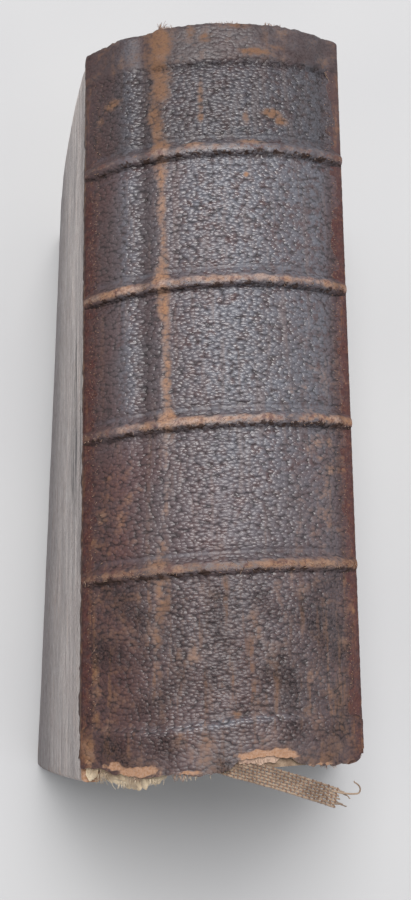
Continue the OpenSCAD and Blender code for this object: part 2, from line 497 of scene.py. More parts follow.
def most(tree, first, second):
    """The larger of two numbers."""
    return sum_of(tree, "MAXIMUM", first, second)


def between(tree, value, low, high, to_low=0.0, to_high=1.0):
    """A number carried smoothly from one range to another."""
    made = add(tree, "ShaderNodeMapRange", interpolation_type="SMOOTHSTEP")
    put(tree, made.inputs["Value"], value)
    made.inputs["From Min"].default_value = low
    made.inputs["From Max"].default_value = high
    made.inputs["To Min"].default_value = to_low
    made.inputs["To Max"].default_value = to_high
    return made.outputs["Result"]


def place(tree, scale=(1, 1, 1), turn=(0, 0, 0)):
    """The object's own coordinates, stretched and turned."""
    where = add(tree, "ShaderNodeTexCoord")
    turned = add(tree, "ShaderNodeMapping", {"Vector": where.outputs["Object"]})
    turned.inputs["Scale"].default_value = scale
    turned.inputs["Rotation"].default_value = turn
    return turned.outputs["Vector"]


def cloud(tree, where, scale, detail=3.0, rough=0.55, warp=0.0):
    """Noise from 0 to 1."""
    made = add(tree, "ShaderNodeTexNoise", {
        "Vector": where, "Scale": scale, "Detail": detail, "Roughness": rough, "Distortion": warp})
    return made.outputs["Fac"]


def mask(tree, name):
    """A number that the piece stores on its vertices."""
    return add(tree, "ShaderNodeAttribute", attribute_name=name).outputs["Fac"]


def surface(tree, shader, base, rough):
    """Gives a finish its colour and its roughness."""
    put(tree, shader.inputs["Base Color"], base)
    put(tree, shader.inputs["Roughness"], rough)


def emboss(tree, shader, height, strength, depth):
    """Gives a finish its fine relief, with its depth in metres."""
    bump = add(tree, "ShaderNodeBump", {"Height": height, "Strength": strength, "Distance": depth})
    put(tree, shader.inputs["Normal"], bump.outputs["Normal"])


def grain(tree, stretch, turn, scale):
    """Height of pebbled leather grain, from 0 in the creases to about 1."""
    where = place(tree, stretch, turn)
    push = add(tree, "ShaderNodeTexNoise", {"Vector": where, "Scale": scale * 0.45, "Detail": 2.0})
    pushed = add(tree, "ShaderNodeVectorMath", operation="MULTIPLY_ADD")
    put(tree, pushed.inputs[0], push.outputs["Color"])
    pushed.inputs[1].default_value = (0.9 / scale,) * 3
    put(tree, pushed.inputs[2], where)
    cells = add(tree, "ShaderNodeTexVoronoi", {
        "Vector": pushed.outputs["Vector"], "Scale": scale}, feature="F1")
    reach = cells.outputs["Distance"]
    return minus(tree, 1.0, times(tree, reach, reach), clamp=True)


# Linear colours of dirt, stains, torn places and painted shade, which belong to one finish each
CRACK_DIRT = (0.014, 0.011, 0.011, 1.0)
GRAIN_CREASE_SHADE = (0.012, 0.009, 0.010, 1.0)
SHADE_AND_DIRT_TONE = (0.010, 0.007, 0.007, 1.0)
BAND_SHADOW = (0.022, 0.012, 0.009, 1.0)
TORN_PALE = (0.46, 0.34, 0.26, 1.0)
PAGE_GAP_SHADE = (0.30, 0.215, 0.13, 1.0)
PAGE_FOLDS = (0.36, 0.27, 0.17, 1.0)
PAGE_STAINS = (0.33, 0.235, 0.14, 1.0)
PAGE_BROWNED = (0.20, 0.14, 0.085, 1.0)
PAPER_MOTTLE = (0.47, 0.36, 0.225, 1.0)
PAPER_FOXING = (0.27, 0.16, 0.075, 1.0)
PAPER_FIBRES = (0.30, 0.22, 0.14, 1.0)
PAPER_BROWNED = (0.24, 0.155, 0.085, 1.0)
BOARD_DARK = (0.20, 0.15, 0.10, 1.0)
BOARD_PALE = (0.33, 0.26, 0.18, 1.0)
BOARD_FLECKS = (0.11, 0.08, 0.055, 1.0)
NAP_TONE = (0.24, 0.14, 0.085, 1.0)
CROSS_TONE = (0.155, 0.088, 0.056, 1.0)
CORD_TONE = (0.42, 0.33, 0.22, 1.0)
LINING_TONE = (0.44, 0.355, 0.245, 1.0)
SHEEN_TINT = (1.0, 0.92, 0.87, 1.0)


def leather_finish(name, spine):
    """Black-brown grained leather, worn red-brown and tan, with painted shade and a painted cool sheen.
    The spine's grain is coarser.
    """
    finish, tree, shader = new_finish(name)
    where = place(tree)
    rub = mask(tree, "rub")
    red = mask(tree, "red")
    cool = mask(tree, "cool")
    worn_smooth = mask(tree, "smooth")
    scuff = mask(tree, "scuff")
    pale = mask(tree, "pale")
    if spine:
        cells = grain(tree, (0.60, 1.0, 0.8), (0, 0, math.radians(-12)), 1580)
    else:
        cells = grain(tree, (1.0, 0.8, 1.0), (0, 0, 0), 2100)
    blotch = cloud(tree, where, 90, 4.0)
    speck = cloud(tree, where, 620, 4.0, 0.65)
    fine = cloud(tree, where, 2600, 3.0, 0.6)
    tone = cloud(tree, where, 240, 3.0, 0.6)
    streak = cloud(tree, place(tree, (1.0, 0.085, 1.0)), 560, 4.0, 0.6)

    # The black surface, with a painted cool sheen that stands in for reflected light, and its red-brown
    # dry places
    base = mix(tree, between(tree, blotch, 0.35, 0.7), colour("hide_dark"), colour("hide_red"))
    base = mix(tree, 0.55, base, colour("hide_dark"))
    base = mix(tree, times(tree, cool, between(tree, speck, 0.3, 0.6)), base, colour("hide_cool"))
    red_share = times(tree, red, between(tree, speck, 0.30, 0.62, 0.35, 1.0))
    base = mix(tree, red_share, base, colour("hide_red"))

    # Tan where the surface is rubbed through, on the tops of the grain first
    height = plus(tree, times(tree, cells, 0.30), times(tree, speck, 0.62))
    height = plus(tree, height, times(tree, tone, 0.55))
    rub_share = between(tree, plus(tree, rub, height), 1.05, 1.78)
    rub_share = times(tree, rub_share, between(tree, rub, 0.02, 0.30))
    chafe = times(tree, between(tree, tone, 0.45, 0.58, 0.85, 0.0), pale)
    chafe = plus(tree, chafe, between(tree, tone, 0.50, 0.70, 0.0, 0.35), clamp=True)
    tan = mix(tree, chafe, colour("hide_rubbed"), colour("hide_chafed"))
    tan = mix(tree, between(tree, fine, 0.42, 0.70, 0.0, 0.6), tan, colour("hide_red"))
    base = mix(tree, rub_share, base, tan)
    grime = times(tree, mask(tree, "grime"), between(tree, speck, 0.51, 0.62, 0.0, 0.85))
    base = mix(tree, grime, base, colour("hide_red"))

    # Scratched lines, flecks in the dry places, and fine cracks where the back cover bends
    lines = times(tree, between(tree, streak, 0.52, 0.67), scuff)
    lines = times(tree, lines, between(tree, speck, 0.34, 0.60))
    base = mix(tree, times(tree, lines, 0.6), base, tan)
    dry_share = between(tree, most(tree, red, times(tree, scuff, 0.6)), 0.35, 0.9)
    flecks = times(tree, between(tree, fine, 0.53, 0.65), dry_share)
    base = mix(tree, times(tree, flecks, 0.70 if spine else 0.45), base, tan)
    folds = cloud(tree, place(tree, (1.0, 0.045, 1.0)), 230, 2.0, 0.5)
    cracks = times(tree, between(tree, folds, 0.445, 0.475), between(tree, folds, 0.505, 0.535, 1.0, 0.0))
    cracks = times(tree, cracks, times(tree, mask(tree, "hinge"), 0.95))
    base = mix(tree, cracks, base, CRACK_DIRT)

    # Painted shade in the creases of the grain, painted shade with some dirt along the folds and hollows,
    # and painted shadow in broken lines under the bands
    gap = between(tree, cells, 0.30, 0.70, 0.6, 0.0)
    gap = times(tree, gap, between(tree, worn_smooth, 0.2, 0.9, 1.0, 0.2))
    base = mix(tree, gap, base, GRAIN_CREASE_SHADE)
    darkening = times(tree, mask(tree, "painted_shade_and_dirt"), between(tree, fine, 0.32, 0.58, 1.0, 0.55))
    base = mix(tree, times(tree, darkening, 0.95), base, SHADE_AND_DIRT_TONE)
    under = mask(tree, "jag")
    jag = plus(tree, under, times(tree, speck, 3.0))
    jag = times(tree, between(tree, jag, 2.34, 2.62), between(tree, under, 0.10, 0.35))
    base = mix(tree, times(tree, jag, 0.9), base, BAND_SHADOW)
    darkening = most(tree, darkening, jag)

    # The flesh side where the leather is torn
    torn_share = between(tree, plus(tree, mask(tree, "torn"), times(tree, speck, 0.5)), 0.62, 0.82)
    flesh = mix(tree, between(tree, fine, 0.3, 0.7), colour("flesh"), colour("hide_rubbed"))
    base = mix(tree, torn_share, base, flesh)

    # Polish, dull where the surface is gone
    polish = minus(tree, between(tree, speck, 0.25, 0.75, 0.36, 0.50), times(tree, cool, 0.06))
    dull = most(tree, most(tree, rub_share, lines), torn_share)
    rough = add(tree, "ShaderNodeMix", data_type="FLOAT")
    put(tree, rough.inputs[0], dull)
    put(tree, rough.inputs[2], polish)
    put(tree, rough.inputs[3], between(tree, pale, 0.0, 1.0, 0.78, 0.56))
    dry = plus(tree, times(tree, red, 0.22), times(tree, worn_smooth, 0.12))
    surface(tree, shader, base, plus(tree, rough.outputs[0], dry, clamp=True))
    shine = between(tree, most(tree, red, darkening), 0.1, 0.9, 0.5, 0.16)
    if not spine:
        shine = times(tree, shine, 0.6)
        # Sheen that grows with height, so the cover is lighter towards its joint and darker towards the
        # floor
        bloom = times(tree, mask(tree, "sheen_by_height"), between(tree, streak, 0.36, 0.66, 0.55, 1.25))
        bloom = times(tree, bloom, between(tree, cracks, 0.0, 1.0, 1.0, 0.1))
        put(tree, shader.inputs["Sheen Weight"], times(tree, bloom, 0.30))
        shader.inputs["Sheen Roughness"].default_value = 0.35
        shader.inputs["Sheen Tint"].default_value = SHEEN_TINT
    put(tree, shader.inputs["Specular IOR Level"], shine)

    # Relief of the grain, low where it is worn smooth
    relief = times(tree, cells, between(tree, worn_smooth, 0.0, 1.0, 1.0, 0.12))
    relief = plus(tree, relief, times(tree, fine, 0.10))
    relief = plus(tree, relief, times(tree, speck, 0.25))
    relief = minus(tree, relief, times(tree, rub_share, 0.25))
    if spine:
        emboss(tree, shader, relief, 1.0, 0.00032)
    else:
        emboss(tree, shader, relief, 0.5, 0.00014)
    return finish


def flesh_finish():
    """Torn leather: fibrous tan."""
    finish, tree, shader = new_finish("torn_leather")
    fibres = cloud(tree, place(tree, (1.0, 0.35, 1.0)), 1700, 5.0, 0.7, 0.6)
    patches = cloud(tree, place(tree), 260, 3.0)
    base = mix(tree, between(tree, fibres, 0.3, 0.7), colour("hide_red"), colour("flesh"))
    base = mix(tree, between(tree, patches, 0.4, 0.65, 0.0, 0.55), base, TORN_PALE)
    surface(tree, shader, base, 0.88)
    emboss(tree, shader, fibres, 0.9, 0.0003)
    return finish


def sheet_cloud(tree, sheets, detail, rough):
    """Noise from 0 to 1 that changes from sheet to sheet across the pages."""
    made = add(tree, "ShaderNodeTexNoise", {
        "W": times(tree, mask(tree, "sheet"), sheets), "Scale": 1.0, "Detail": detail,
        "Roughness": rough}, noise_dimensions="1D")
    return made.outputs["Fac"]


def page_edge_finish():
    """The block of pages: thin edges of many sheets, browned by dust and handling."""
    finish, tree, shader = new_finish("page_edges")
    leaves = sheet_cloud(tree, 420.0, 2.0, 0.7)
    folds = sheet_cloud(tree, 46.0, 1.0, 0.5)
    stain = cloud(tree, place(tree), 60, 5.0, 0.6)
    # Dark lines between the sheets: painted shade in the gaps between the leaves
    base = mix(tree, between(tree, leaves, 0.3, 0.7), PAGE_GAP_SHADE, colour("paper"))
    base = mix(tree, between(tree, folds, 0.45, 0.65, 0.0, 0.5), base, PAGE_FOLDS)
    base = mix(tree, between(tree, stain, 0.45, 0.75, 0.0, 0.55), base, PAGE_STAINS)
    base = mix(tree, times(tree, mask(tree, "edge"), 0.55), base, PAGE_BROWNED)
    surface(tree, shader, base, 0.9)
    emboss(tree, shader, leaves, 0.8, 0.00025)
    return finish


def paper_finish():
    """Aged endpaper with foxing and browned edges."""
    finish, tree, shader = new_finish("endpaper")
    mottle = cloud(tree, place(tree), 45, 5.0, 0.6)
    fibre = cloud(tree, place(tree), 2400, 3.0, 0.6)
    spots = cloud(tree, place(tree), 210, 2.0, 0.5)
    base = mix(tree, between(tree, mottle, 0.3, 0.75, 0.0, 0.6), colour("paper"), PAPER_MOTTLE)
    base = mix(tree, between(tree, spots, 0.68, 0.78, 0.0, 0.5), base, PAPER_FOXING)
    base = mix(tree, between(tree, fibre, 0.3, 0.7, 0.0, 0.14), base, PAPER_FIBRES)
    base = mix(tree, times(tree, mask(tree, "edge"), 0.6), base, PAPER_BROWNED)
    surface(tree, shader, base, 0.86)
    emboss(tree, shader, fibre, 0.25, 0.0001)
    return finish


def thread_finish(name, tone):
    """Old linen thread, soiled along its length."""
    finish, tree, shader = new_finish(name)
    darkening = cloud(tree, place(tree), 330, 4.0, 0.6)
    fibre = cloud(tree, place(tree), 3600, 3.0, 0.65, 0.5)
    dark = (tone[0] * 0.42, tone[1] * 0.36, tone[2] * 0.32, 1.0)
    base = mix(tree, between(tree, darkening, 0.42, 0.66, 0.0, 0.8), tone, dark)
    base = mix(tree, between(tree, fibre, 0.35, 0.7, 0.0, 0.4), base, dark)
    surface(tree, shader, base, 0.92)
    shader.inputs["Sheen Weight"].default_value = 0.25
    shader.inputs["Sheen Roughness"].default_value = 0.5
    emboss(tree, shader, fibre, 0.6, 0.00012)
    return finish


def board_finish():
    """Pressed millboard of old rag and rope fibres."""
    finish, tree, shader = new_finish("millboard")
    layers = cloud(tree, place(tree, (6.0, 1.0, 1.0)), 500, 4.0, 0.65)
    flecks = cloud(tree, place(tree), 1500, 3.0, 0.6)
    base = mix(tree, between(tree, layers, 0.3, 0.7), BOARD_DARK, BOARD_PALE)
    base = mix(tree, between(tree, flecks, 0.55, 0.72, 0.0, 0.6), base, BOARD_FLECKS)
    surface(tree, shader, base, 0.92)
    emboss(tree, shader, layers, 0.5, 0.0003)
    return finish


def floor_finish():
    """Pale matt floor with a slight cloud in it."""
    finish, tree, shader = new_finish("pale_floor")
    tint = cloud(tree, place(tree), 9, 2.0)
    pale = colour("floor")
    grey = (pale[0] * 0.94, pale[1] * 0.94, pale[2] * 0.95, 1.0)
    surface(tree, shader, mix(tree, between(tree, tint, 0.3, 0.7), pale, grey), 0.7)
    return finish


FINISHES = {}


def finish_named(name):
    """A material by its name, made once."""
    if name not in FINISHES:
        makers = {
            "spine_hide": lambda: leather_finish("spine_hide", True),
            "cover_hide": lambda: leather_finish("cover_hide", False),
            "torn_leather": flesh_finish,
            "page_edges": page_edge_finish,
            "endpaper": paper_finish,
            "band_thread": lambda: thread_finish("band_thread", colour("thread")),
            "worn_nap": lambda: thread_finish("worn_nap", NAP_TONE),
            "cross_thread": lambda: thread_finish("cross_thread", CROSS_TONE),
            "cord_thread": lambda: thread_finish("cord_thread", CORD_TONE),
            "lining_shreds": lambda: thread_finish("lining_shreds", LINING_TONE),
            "millboard": board_finish,
            "pale_floor": floor_finish,
        }
        FINISHES[name] = makers[name]()
    return FINISHES[name]


def coat(piece, *names):
    """Gives a piece its materials."""
    piece.data.materials.clear()
    for name in names:
        piece.data.materials.append(finish_named(name))


# Rubbed spots in millimetres: place across, place along, half width, half height; then strength
RUBBED_SPOTS = [
    (-10.6, 70.5, 2.3, 4.5, 0.95), (-11.3, 65.5, 1.7, 3.5, 0.85), (-10.7, 60.5, 2.2, 3.5, 0.75),
    (-11.9, 55.0, 1.5, 2.6, 0.85), (-11.4, 51.0, 1.1, 3.0, 0.80), (-10.6, 47.6, 1.9, 2.2, 0.90),
    (-10.6, 42.0, 0.9, 5.0, 0.62), (-10.4, 35.5, 0.9, 4.5, 0.55), (-10.2, 29.0, 0.8, 4.5, 0.55),
    (-10.3, 24.0, 1.0, 2.5, 0.60), (-10.6, 20.0, 1.8, 2.2, 0.85), (-10.0, 14.5, 1.0, 4.0, 0.72),
    (-9.8, 9.0, 0.9, 3.5, 0.55), (-9.6, 2.5, 0.8, 4.0, 0.62), (-9.6, -4.0, 0.8, 3.0, 0.50),
    (-9.4, -8.0, 1.7, 1.6, 1.00), (-9.8, -15.0, 0.8, 4.0, 0.40), (-10.0, -24.0, 0.8, 5.0, 0.36),
    (-11.4, -36.0, 2.5, 1.6, 0.70), (-10.6, -43.0, 1.6, 2.2, 0.62), (-11.8, -49.0, 1.0, 3.4, 0.55),
    (11.6, 54.2, 2.0, 1.2, 0.95), (13.4, 52.7, 1.4, 0.9, 0.90), (-20.5, 59.9, 2.2, 1.5, 0.66),
    (-23.2, 57.2, 0.8, 1.2, 0.50), (-2.6, 57.5, 0.65, 4.5, 0.58), (-2.6, 53.4, 0.7, 1.2, 0.72),
    (6.4, 53.2, 0.8, 1.8, 0.56), (6.3, 40.8, 0.7, 0.6, 0.80), (13.0, 45.5, 1.4, 1.4, 0.35),
    (-4.4, 72.2, 1.4, 2.2, 0.56), (-1.6, 70.6, 1.6, 1.4, 0.66), (8.6, 67.4, 3.6, 0.9, 0.80),
    (12.6, 68.7, 2.2, 0.8, 0.48), (-15.5, 69.5, 2.2, 2.2, 0.32), (5.0, 73.2, 3.6, 1.2, 0.52),
    (-20.5, -42.0, 3.0, 3.0, 0.34), (-18.0, -60.0, 3.5, 4.0, 0.26), (2.6, -63.6, 1.0, 1.0, 0.72),
    (13.5, -47.0, 1.2, 1.6, 0.34), (16.5, -57.0, 0.7, 2.5, 0.40), (19.8, -56.0, 0.35, 14.0, 0.50),
    (0.0, -58.0, 0.6, 1.6, 0.45), (-0.6, -42.0, 0.8, 1.0, 0.45), (-8.0, -66.5, 2.0, 3.0, 0.46),
    (-3.0, -68.5, 2.0, 2.5, 0.42), (7.0, -68.5, 3.0, 1.8, 0.34), (-23.8, -54.0, 0.8, 2.0, 0.70),
    (-23.4, -63.0, 0.9, 2.2, 0.62), (-24.4, -68.5, 1.2, 3.5, 0.75), (21.5, -13.0, 1.0, 1.6, 0.50),
    (19.0, -13.0, 2.4, 2.2, 0.40), (21.0, -22.0, 1.4, 4.0, 0.36), (14.5, -24.5, 2.6, 2.0, 0.28),
    (-22.0, -25.0, 2.0, 6.0, 0.32), (18.0, -31.0, 2.0, 2.0, 0.34), (17.0, -66.0, 1.6, 3.0, 0.40),
    (-4.0, 47.3, 2.2, 0.9, 0.80), (7.5, 47.6, 3.4, 0.9, 0.74), (9.5, -54.0, 2.6, 4.5, 0.36),
    (6.5, -50.0, 1.8, 2.2, 0.36), (12.0, -58.5, 1.6, 2.6, 0.34), (-16.0, -41.0, 3.0, 2.0, 0.34),
]
# Wear stripe left of the crown in millimetres: place along, place across, half width; then strength
STRIPE = [
    (-75, -10.6, 1.2, 0.30), (-62, -11.2, 1.2, 0.42), (-52, -11.8, 1.3, 0.55), (-44, -10.8, 1.9, 0.62),
    (-36, -11.2, 2.1, 0.62), (-28, -10.2, 1.2, 0.34), (-18, -9.9, 1.2, 0.36), (-11, -9.5, 1.8, 0.60),
    (-8, -9.4, 2.0, 0.98), (-5, -9.6, 1.3, 0.66), (3, -9.7, 1.3, 0.64), (10, -9.9, 1.5, 0.68),
    (16, -10.3, 2.0, 0.76), (20, -10.6, 2.2, 0.86), (24, -10.4, 1.4, 0.62), (32, -10.3, 1.1, 0.56),
    (40, -10.6, 1.4, 0.62), (46, -10.7, 2.0, 0.84), (51, -11.4, 2.0, 0.80), (57, -11.2, 2.6, 0.76),
    (63, -10.8, 3.2, 0.80), (69, -11.2, 4.0, 0.80), (76, -11.0, 4.0, 0.80),
]
# Torn spots, written as the rubbed spots are
TORN_SPOTS = [
    (-15.0, -72.6, 3.8, 1.1, 1.0), (-19.6, -71.4, 2.2, 0.9, 0.75), (7.8, -71.2, 5.4, 1.25, 1.0),
    (-6.0, -73.2, 2.5, 0.6, 0.7), (18.0, -73.3, 4.0, 0.5, 0.6), (-24.0, -70.6, 1.2, 1.4, 0.5),
]
# Torn tail edge: place across in half widths of the spine, and depth as a share of the tear depth
TEAR_LINE = [
    (-1.1, 0.9), (-0.86, 0.82), (-0.75, 0.5), (-0.6, 0.16), (-0.36, 0.24), (-0.16, 0.1),
    (0.02, 0.2), (0.1, 0.82), (0.3, 1.0), (0.46, 0.78), (0.58, 0.2), (0.86, 0.14),
    (0.92, 0.30), (0.96, 0.60), (0.99, 1.05), (1.1, 1.20),
]


def spots_at(across, along, spots):
    """The strongest of the listed spots at each point."""
    total = np.zeros_like(across)
    for x, y, half_x, half_y, strength in spots:
        reach = ((across * 1000 - x) / half_x) ** 2 + ((along * 1000 - y) / half_y) ** 2
        total = np.maximum(total, strength * np.exp(-0.8 * reach))
    return total


class SpineSurface:
    """How far the spine's leather stands out at each of its points, how it is worn there, and where shade
    and sheen are painted on it.
    """

    band_tube = 0.00165
    band_blend = 0.00022
    pressed_depth = 0.00022
    cap_width = 0.0086
    cap_rise = 0.00055
    cap_groove = 0.00034
    tail_width = 0.0098
    tail_rise = 0.0006
    torn_depth = 0.00022

    def __init__(self, across, along, drop):
        book = sizes()
        self.across = across
        self.along = along
        self.drop = drop
        self.half = book.book_height / 2
        self.side = np.abs(across) / book.half_width
        self.flat = np.stack([across * 1000, along * 1000, np.zeros_like(across)], axis=1)
        self.wander = 0.00014 * noise_at(self.flat, 0.11, 21)
        self.patch = noise_at(self.flat, 0.35, 11, 3)
        self.near_joint = smooth_step(self.side, 0.80, 0.98)
        self.low_panel = smooth_step(-along, 0.030, 0.042)
        self.low_half = smooth_step(-along, 0.0, 0.020)
        self.lift = np.zeros_like(across)
        self.raise_bands()
        self.raise_turn_ins()
        self.press_folds()
        self.stripe = self.worn_stripe()
        self.torn = spots_at(across, along, TORN_SPOTS) + 0.25 * noise_at(self.flat, 1.1, 17, 3)
        self.lift -= self.torn_depth * smooth_step(self.torn, 0.35, 0.7)

    def raise_bands(self):
        """The four bands over their cords, each with pressed lines beside it and a sunken foot where a
        shadow is painted.
        """
        tube = self.band_tube
        blend = self.band_blend
        blank = np.zeros_like(self.across)
        self.crest = self.shade = self.tool = self.over_cord = self.jag = blank
        fade = 1 - 0.25 * smooth_step(self.side, 0.92, 1.0)
        for place_y, tilt in zip(band_places(), BAND_TILT):
            gap = self.along - place_y - self.wander - tilt * smooth_step(self.across, 0.004, 0.025)
            ridge = np.sqrt(np.maximum(tube ** 2 - gap ** 2, 0)) - (tube - sizes().band_rise)
            soft = np.clip(0.5 + 0.5 * ridge / blend, 0, 1)
            rise = soft * ridge + blend * soft * (1 - soft)
            self.lift += np.maximum(rise, 0) * fade
            cord = 1 - smooth_step(np.abs(gap), 0.0013, 0.0026)
            pressed = np.maximum(bump_at(gap, 0.0027, 0.0006), 0.5 * bump_at(gap, -0.0030, 0.00035))
            self.over_cord = np.maximum(self.over_cord, cord)
            self.crest = np.maximum(self.crest, bump_at(gap, 0.0001, 0.0010))
            self.shade = np.maximum(self.shade, bump_at(gap, -0.0014, 0.00050))
            # A wider, ragged line of painted shadow under each band
            self.jag = np.maximum(self.jag, bump_at(gap, -0.00098, 0.00080))
            self.tool = np.maximum(self.tool, pressed)
        self.lift -= self.pressed_depth * self.tool * (1 - 0.7 * smooth_step(self.side, 0.88, 0.98))
        self.lift -= self.pressed_depth * self.shade * fade

    def raise_turn_ins(self):
        """The turn-ins at head and tail, which lie under the leather and lift it."""
        across, along = self.across, self.along
        cap_edge = self.half - self.cap_width - 0.0006 * np.cos(across * 90) + self.wander
        self.cap = smooth_step(along, cap_edge, cap_edge + 0.0011)
        self.cap_line = bump_at(along, cap_edge, 0.0010) * smooth_step(across, -0.021, -0.009)
        self.lift += self.cap_rise * self.cap - self.cap_groove * self.cap_line
        tail_edge = -self.half + self.tail_width + 0.0006 * np.sin(across * 160) + self.wander
        self.lift += self.tail_rise * smooth_step(-along, -tail_edge, -tail_edge + 0.0014)
        self.tail_line = bump_at(along, tail_edge + 0.0003, 0.0005)
        # The ridge along the tail turn-in, where a highlight is painted through the sheen mask
        self.tail_ridge = bump_at(along, tail_edge - 0.0008, 0.0009) * bump_at(across, 0.0, 0.015)
        self.lift += 0.00016 * self.tail_ridge

    def press_folds(self):
        """A long crease left of the crown, the hollows along both joints, and slow waves."""
        at = self.across - self.wander
        beside_cord = 1 - self.over_cord
        self.fold = smooth_step(self.along, -0.034, 0.0)
        self.lift -= 0.00046 * bump_at(at, -0.0143, 0.0016) * self.fold * (1 - 0.6 * self.over_cord)
        self.lift += 0.00022 * bump_at(at, -0.0104, 0.0012) * self.fold
        self.lift += 0.00036 * bump_at(at, -0.0178, 0.0020) * self.fold
        self.lift -= 0.0004 * bump_at(at, 0.0229, 0.0013) * beside_cord
        self.lift -= 0.00022 * bump_at(at, -0.0226, 0.0016) * beside_cord
        self.lift += 0.00013 * noise_at(self.flat, 0.16, 5, 3) + 0.00004 * noise_at(self.flat, 0.8, 6, 2)

    def worn_stripe(self):
        """The long rubbed stripe left of the crown."""
        where, middle, reach, strength = (np.array(column) for column in zip(*STRIPE))
        along = self.along * 1000
        drift = 0.5 * noise_at(self.flat, 0.22, 25, 2)
        aside = self.across * 1000 - np.interp(along, where, middle) - drift
        shape = np.exp(-1.1 * (aside / np.interp(along, where, reach)) ** 2)
        return shape * np.interp(along, where, strength) * (0.93 + 0.32 * noise_at(self.flat, 0.28, 26, 3))

    def rubbing(self):
        """Where the black surface is worn through."""
        across, along, patch = self.across, self.along, self.patch
        uneven = 0.45 * noise_at(self.flat, 0.09, 33, 2) + 0.35 * noise_at(self.flat, 0.55, 34, 2)
        uneven += 0.3 * noise_at(self.flat, 1.0, 35)
        first_band_less = 1 - 0.35 * smooth_step(along, 0.040, 0.044)
        streaky = noise_at(self.flat * np.array([1.0, 0.36, 1.0]), 0.42, 29, 3)
        to_tail = smooth_step(-along, self.half - 0.0085, self.half - 0.002)
        right_hand = smooth_step(across, 0.008, 0.018) * smooth_step(-along, -0.020, 0.0)
        left_hand = smooth_step(-across, 0.010, 0.018) * self.low_half
        rub = np.maximum.reduce([
            1.3 * spots_at(across, along, RUBBED_SPOTS),
            self.stripe,
            self.crest * (0.80 + uneven) * first_band_less,
            self.low_panel * (0.17 + 0.50 * streaky),
            self.cap * (0.30 + 0.30 * patch),
            smooth_step(self.drop, 0.0001, 0.001) * (0.5 + 0.3 * patch),
            to_tail * (0.42 + 0.34 * patch),
            self.near_joint * (0.10 + 0.28 * patch),
            np.maximum(right_hand, left_hand) * (0.28 + 0.36 * patch)])
        return rub * (1 - 0.5 * self.tail_ridge)

    def dryness(self):
        """Where the leather has gone red-brown."""
        across, along = self.across, self.along
        red = np.maximum.reduce([
            0.9 * self.near_joint * (1 - 0.5 * smooth_step(along, 0.030, 0.055)),
            self.low_panel * (0.08 + 0.45 * noise_at(self.flat, 0.12, 14, 2)),
            0.5 * smooth_step(-across, 0.016, 0.025),
            0.6 * smooth_step(-across, 0.010, 0.019) * self.low_half,
            0.12 * self.cap,
            0.2 * smooth_step(-along, 0.015, 0.04)])
        return red * (1 - 0.8 * self.tail_ridge)

    def polish(self):
        """Where a cool sheen is painted into the leather's colour, standing in for reflected light, with
        painted highlights on the pressed lines, beside the long crease and along the tail ridge. It also
        makes the leather a little glossier.
        """
        cool = smooth_step(self.along, -0.12, 0.03) * smooth_step(self.across, -0.02, 0.004)
        cool *= 1 - self.cap * (0.65 - 0.7 * self.patch)
        cool *= 0.9 + 0.45 * noise_at(self.flat, 0.07, 37, 2)
        return np.maximum.reduce([
            cool, 0.8 * self.tool, 0.85 * bump_at(self.across, -0.0172, 0.0026) * self.fold,
            1.2 * self.tail_ridge])

    def worn_grain(self):
        """Where the grain is worn or pressed smooth."""
        return np.maximum.reduce([
            self.cap * (0.85 - 0.33 * bump_at(self.across, 0.002, 0.011)), self.stripe * 0.7,
            self.crest * 0.85, self.tool * 0.7, self.near_joint * 0.5, self.tail_line * 0.4,
            smooth_step(-self.along, self.half - 0.008, self.half - 0.003) * 0.5])

    def shade_and_dirt(self):
        """Where shade is painted into the folds and hollows, along the feet of the bands and the cap's
        edge, over the left side and over the head and tail panels, with some dirt.
        """
        across, along, patch = self.across, self.along, self.patch
        low_middle = bump_at(across, 0.004, 0.013) * smooth_step(along, -0.066, -0.058)
        painted_shade_and_dirt = np.maximum.reduce([
            self.shade * (0.95 + 0.4 * patch),
            self.cap_line,
            self.tail_line * 0.25,
            self.cap * (0.36 - 0.5 * patch),
            self.low_panel * (0.52 - 0.6 * noise_at(self.flat, 0.17, 27, 2)),
            0.58 * smooth_step(along, 0.0445, 0.050),
            0.42 * smooth_step(-across, 0.019, 0.024),
            0.36 * bump_at(across, -0.0140, 0.0014) * self.fold,
            0.55 * bump_at(across, 0.0236, 0.0008),
            0.48 * self.low_panel * low_middle])
        return painted_shade_and_dirt * (1 - 0.9 * self.tail_ridge)

    def masks(self):
        """The wear, painted shade and painted sheen at each point, for the materials."""
        last_band = smooth_step(-self.along, 0.025, 0.032)
        return {
            "rub": self.rubbing(), "red": self.dryness(), "cool": self.polish(),
            "smooth": self.worn_grain(), "painted_shade_and_dirt": self.shade_and_dirt(), "torn": self.torn,
            "scuff": 0.28 + 0.75 * self.low_panel + 0.22 * self.cap,
            "pale": self.crest * (1 - 0.6 * last_band), "grime": self.crest, "jag": self.jag}


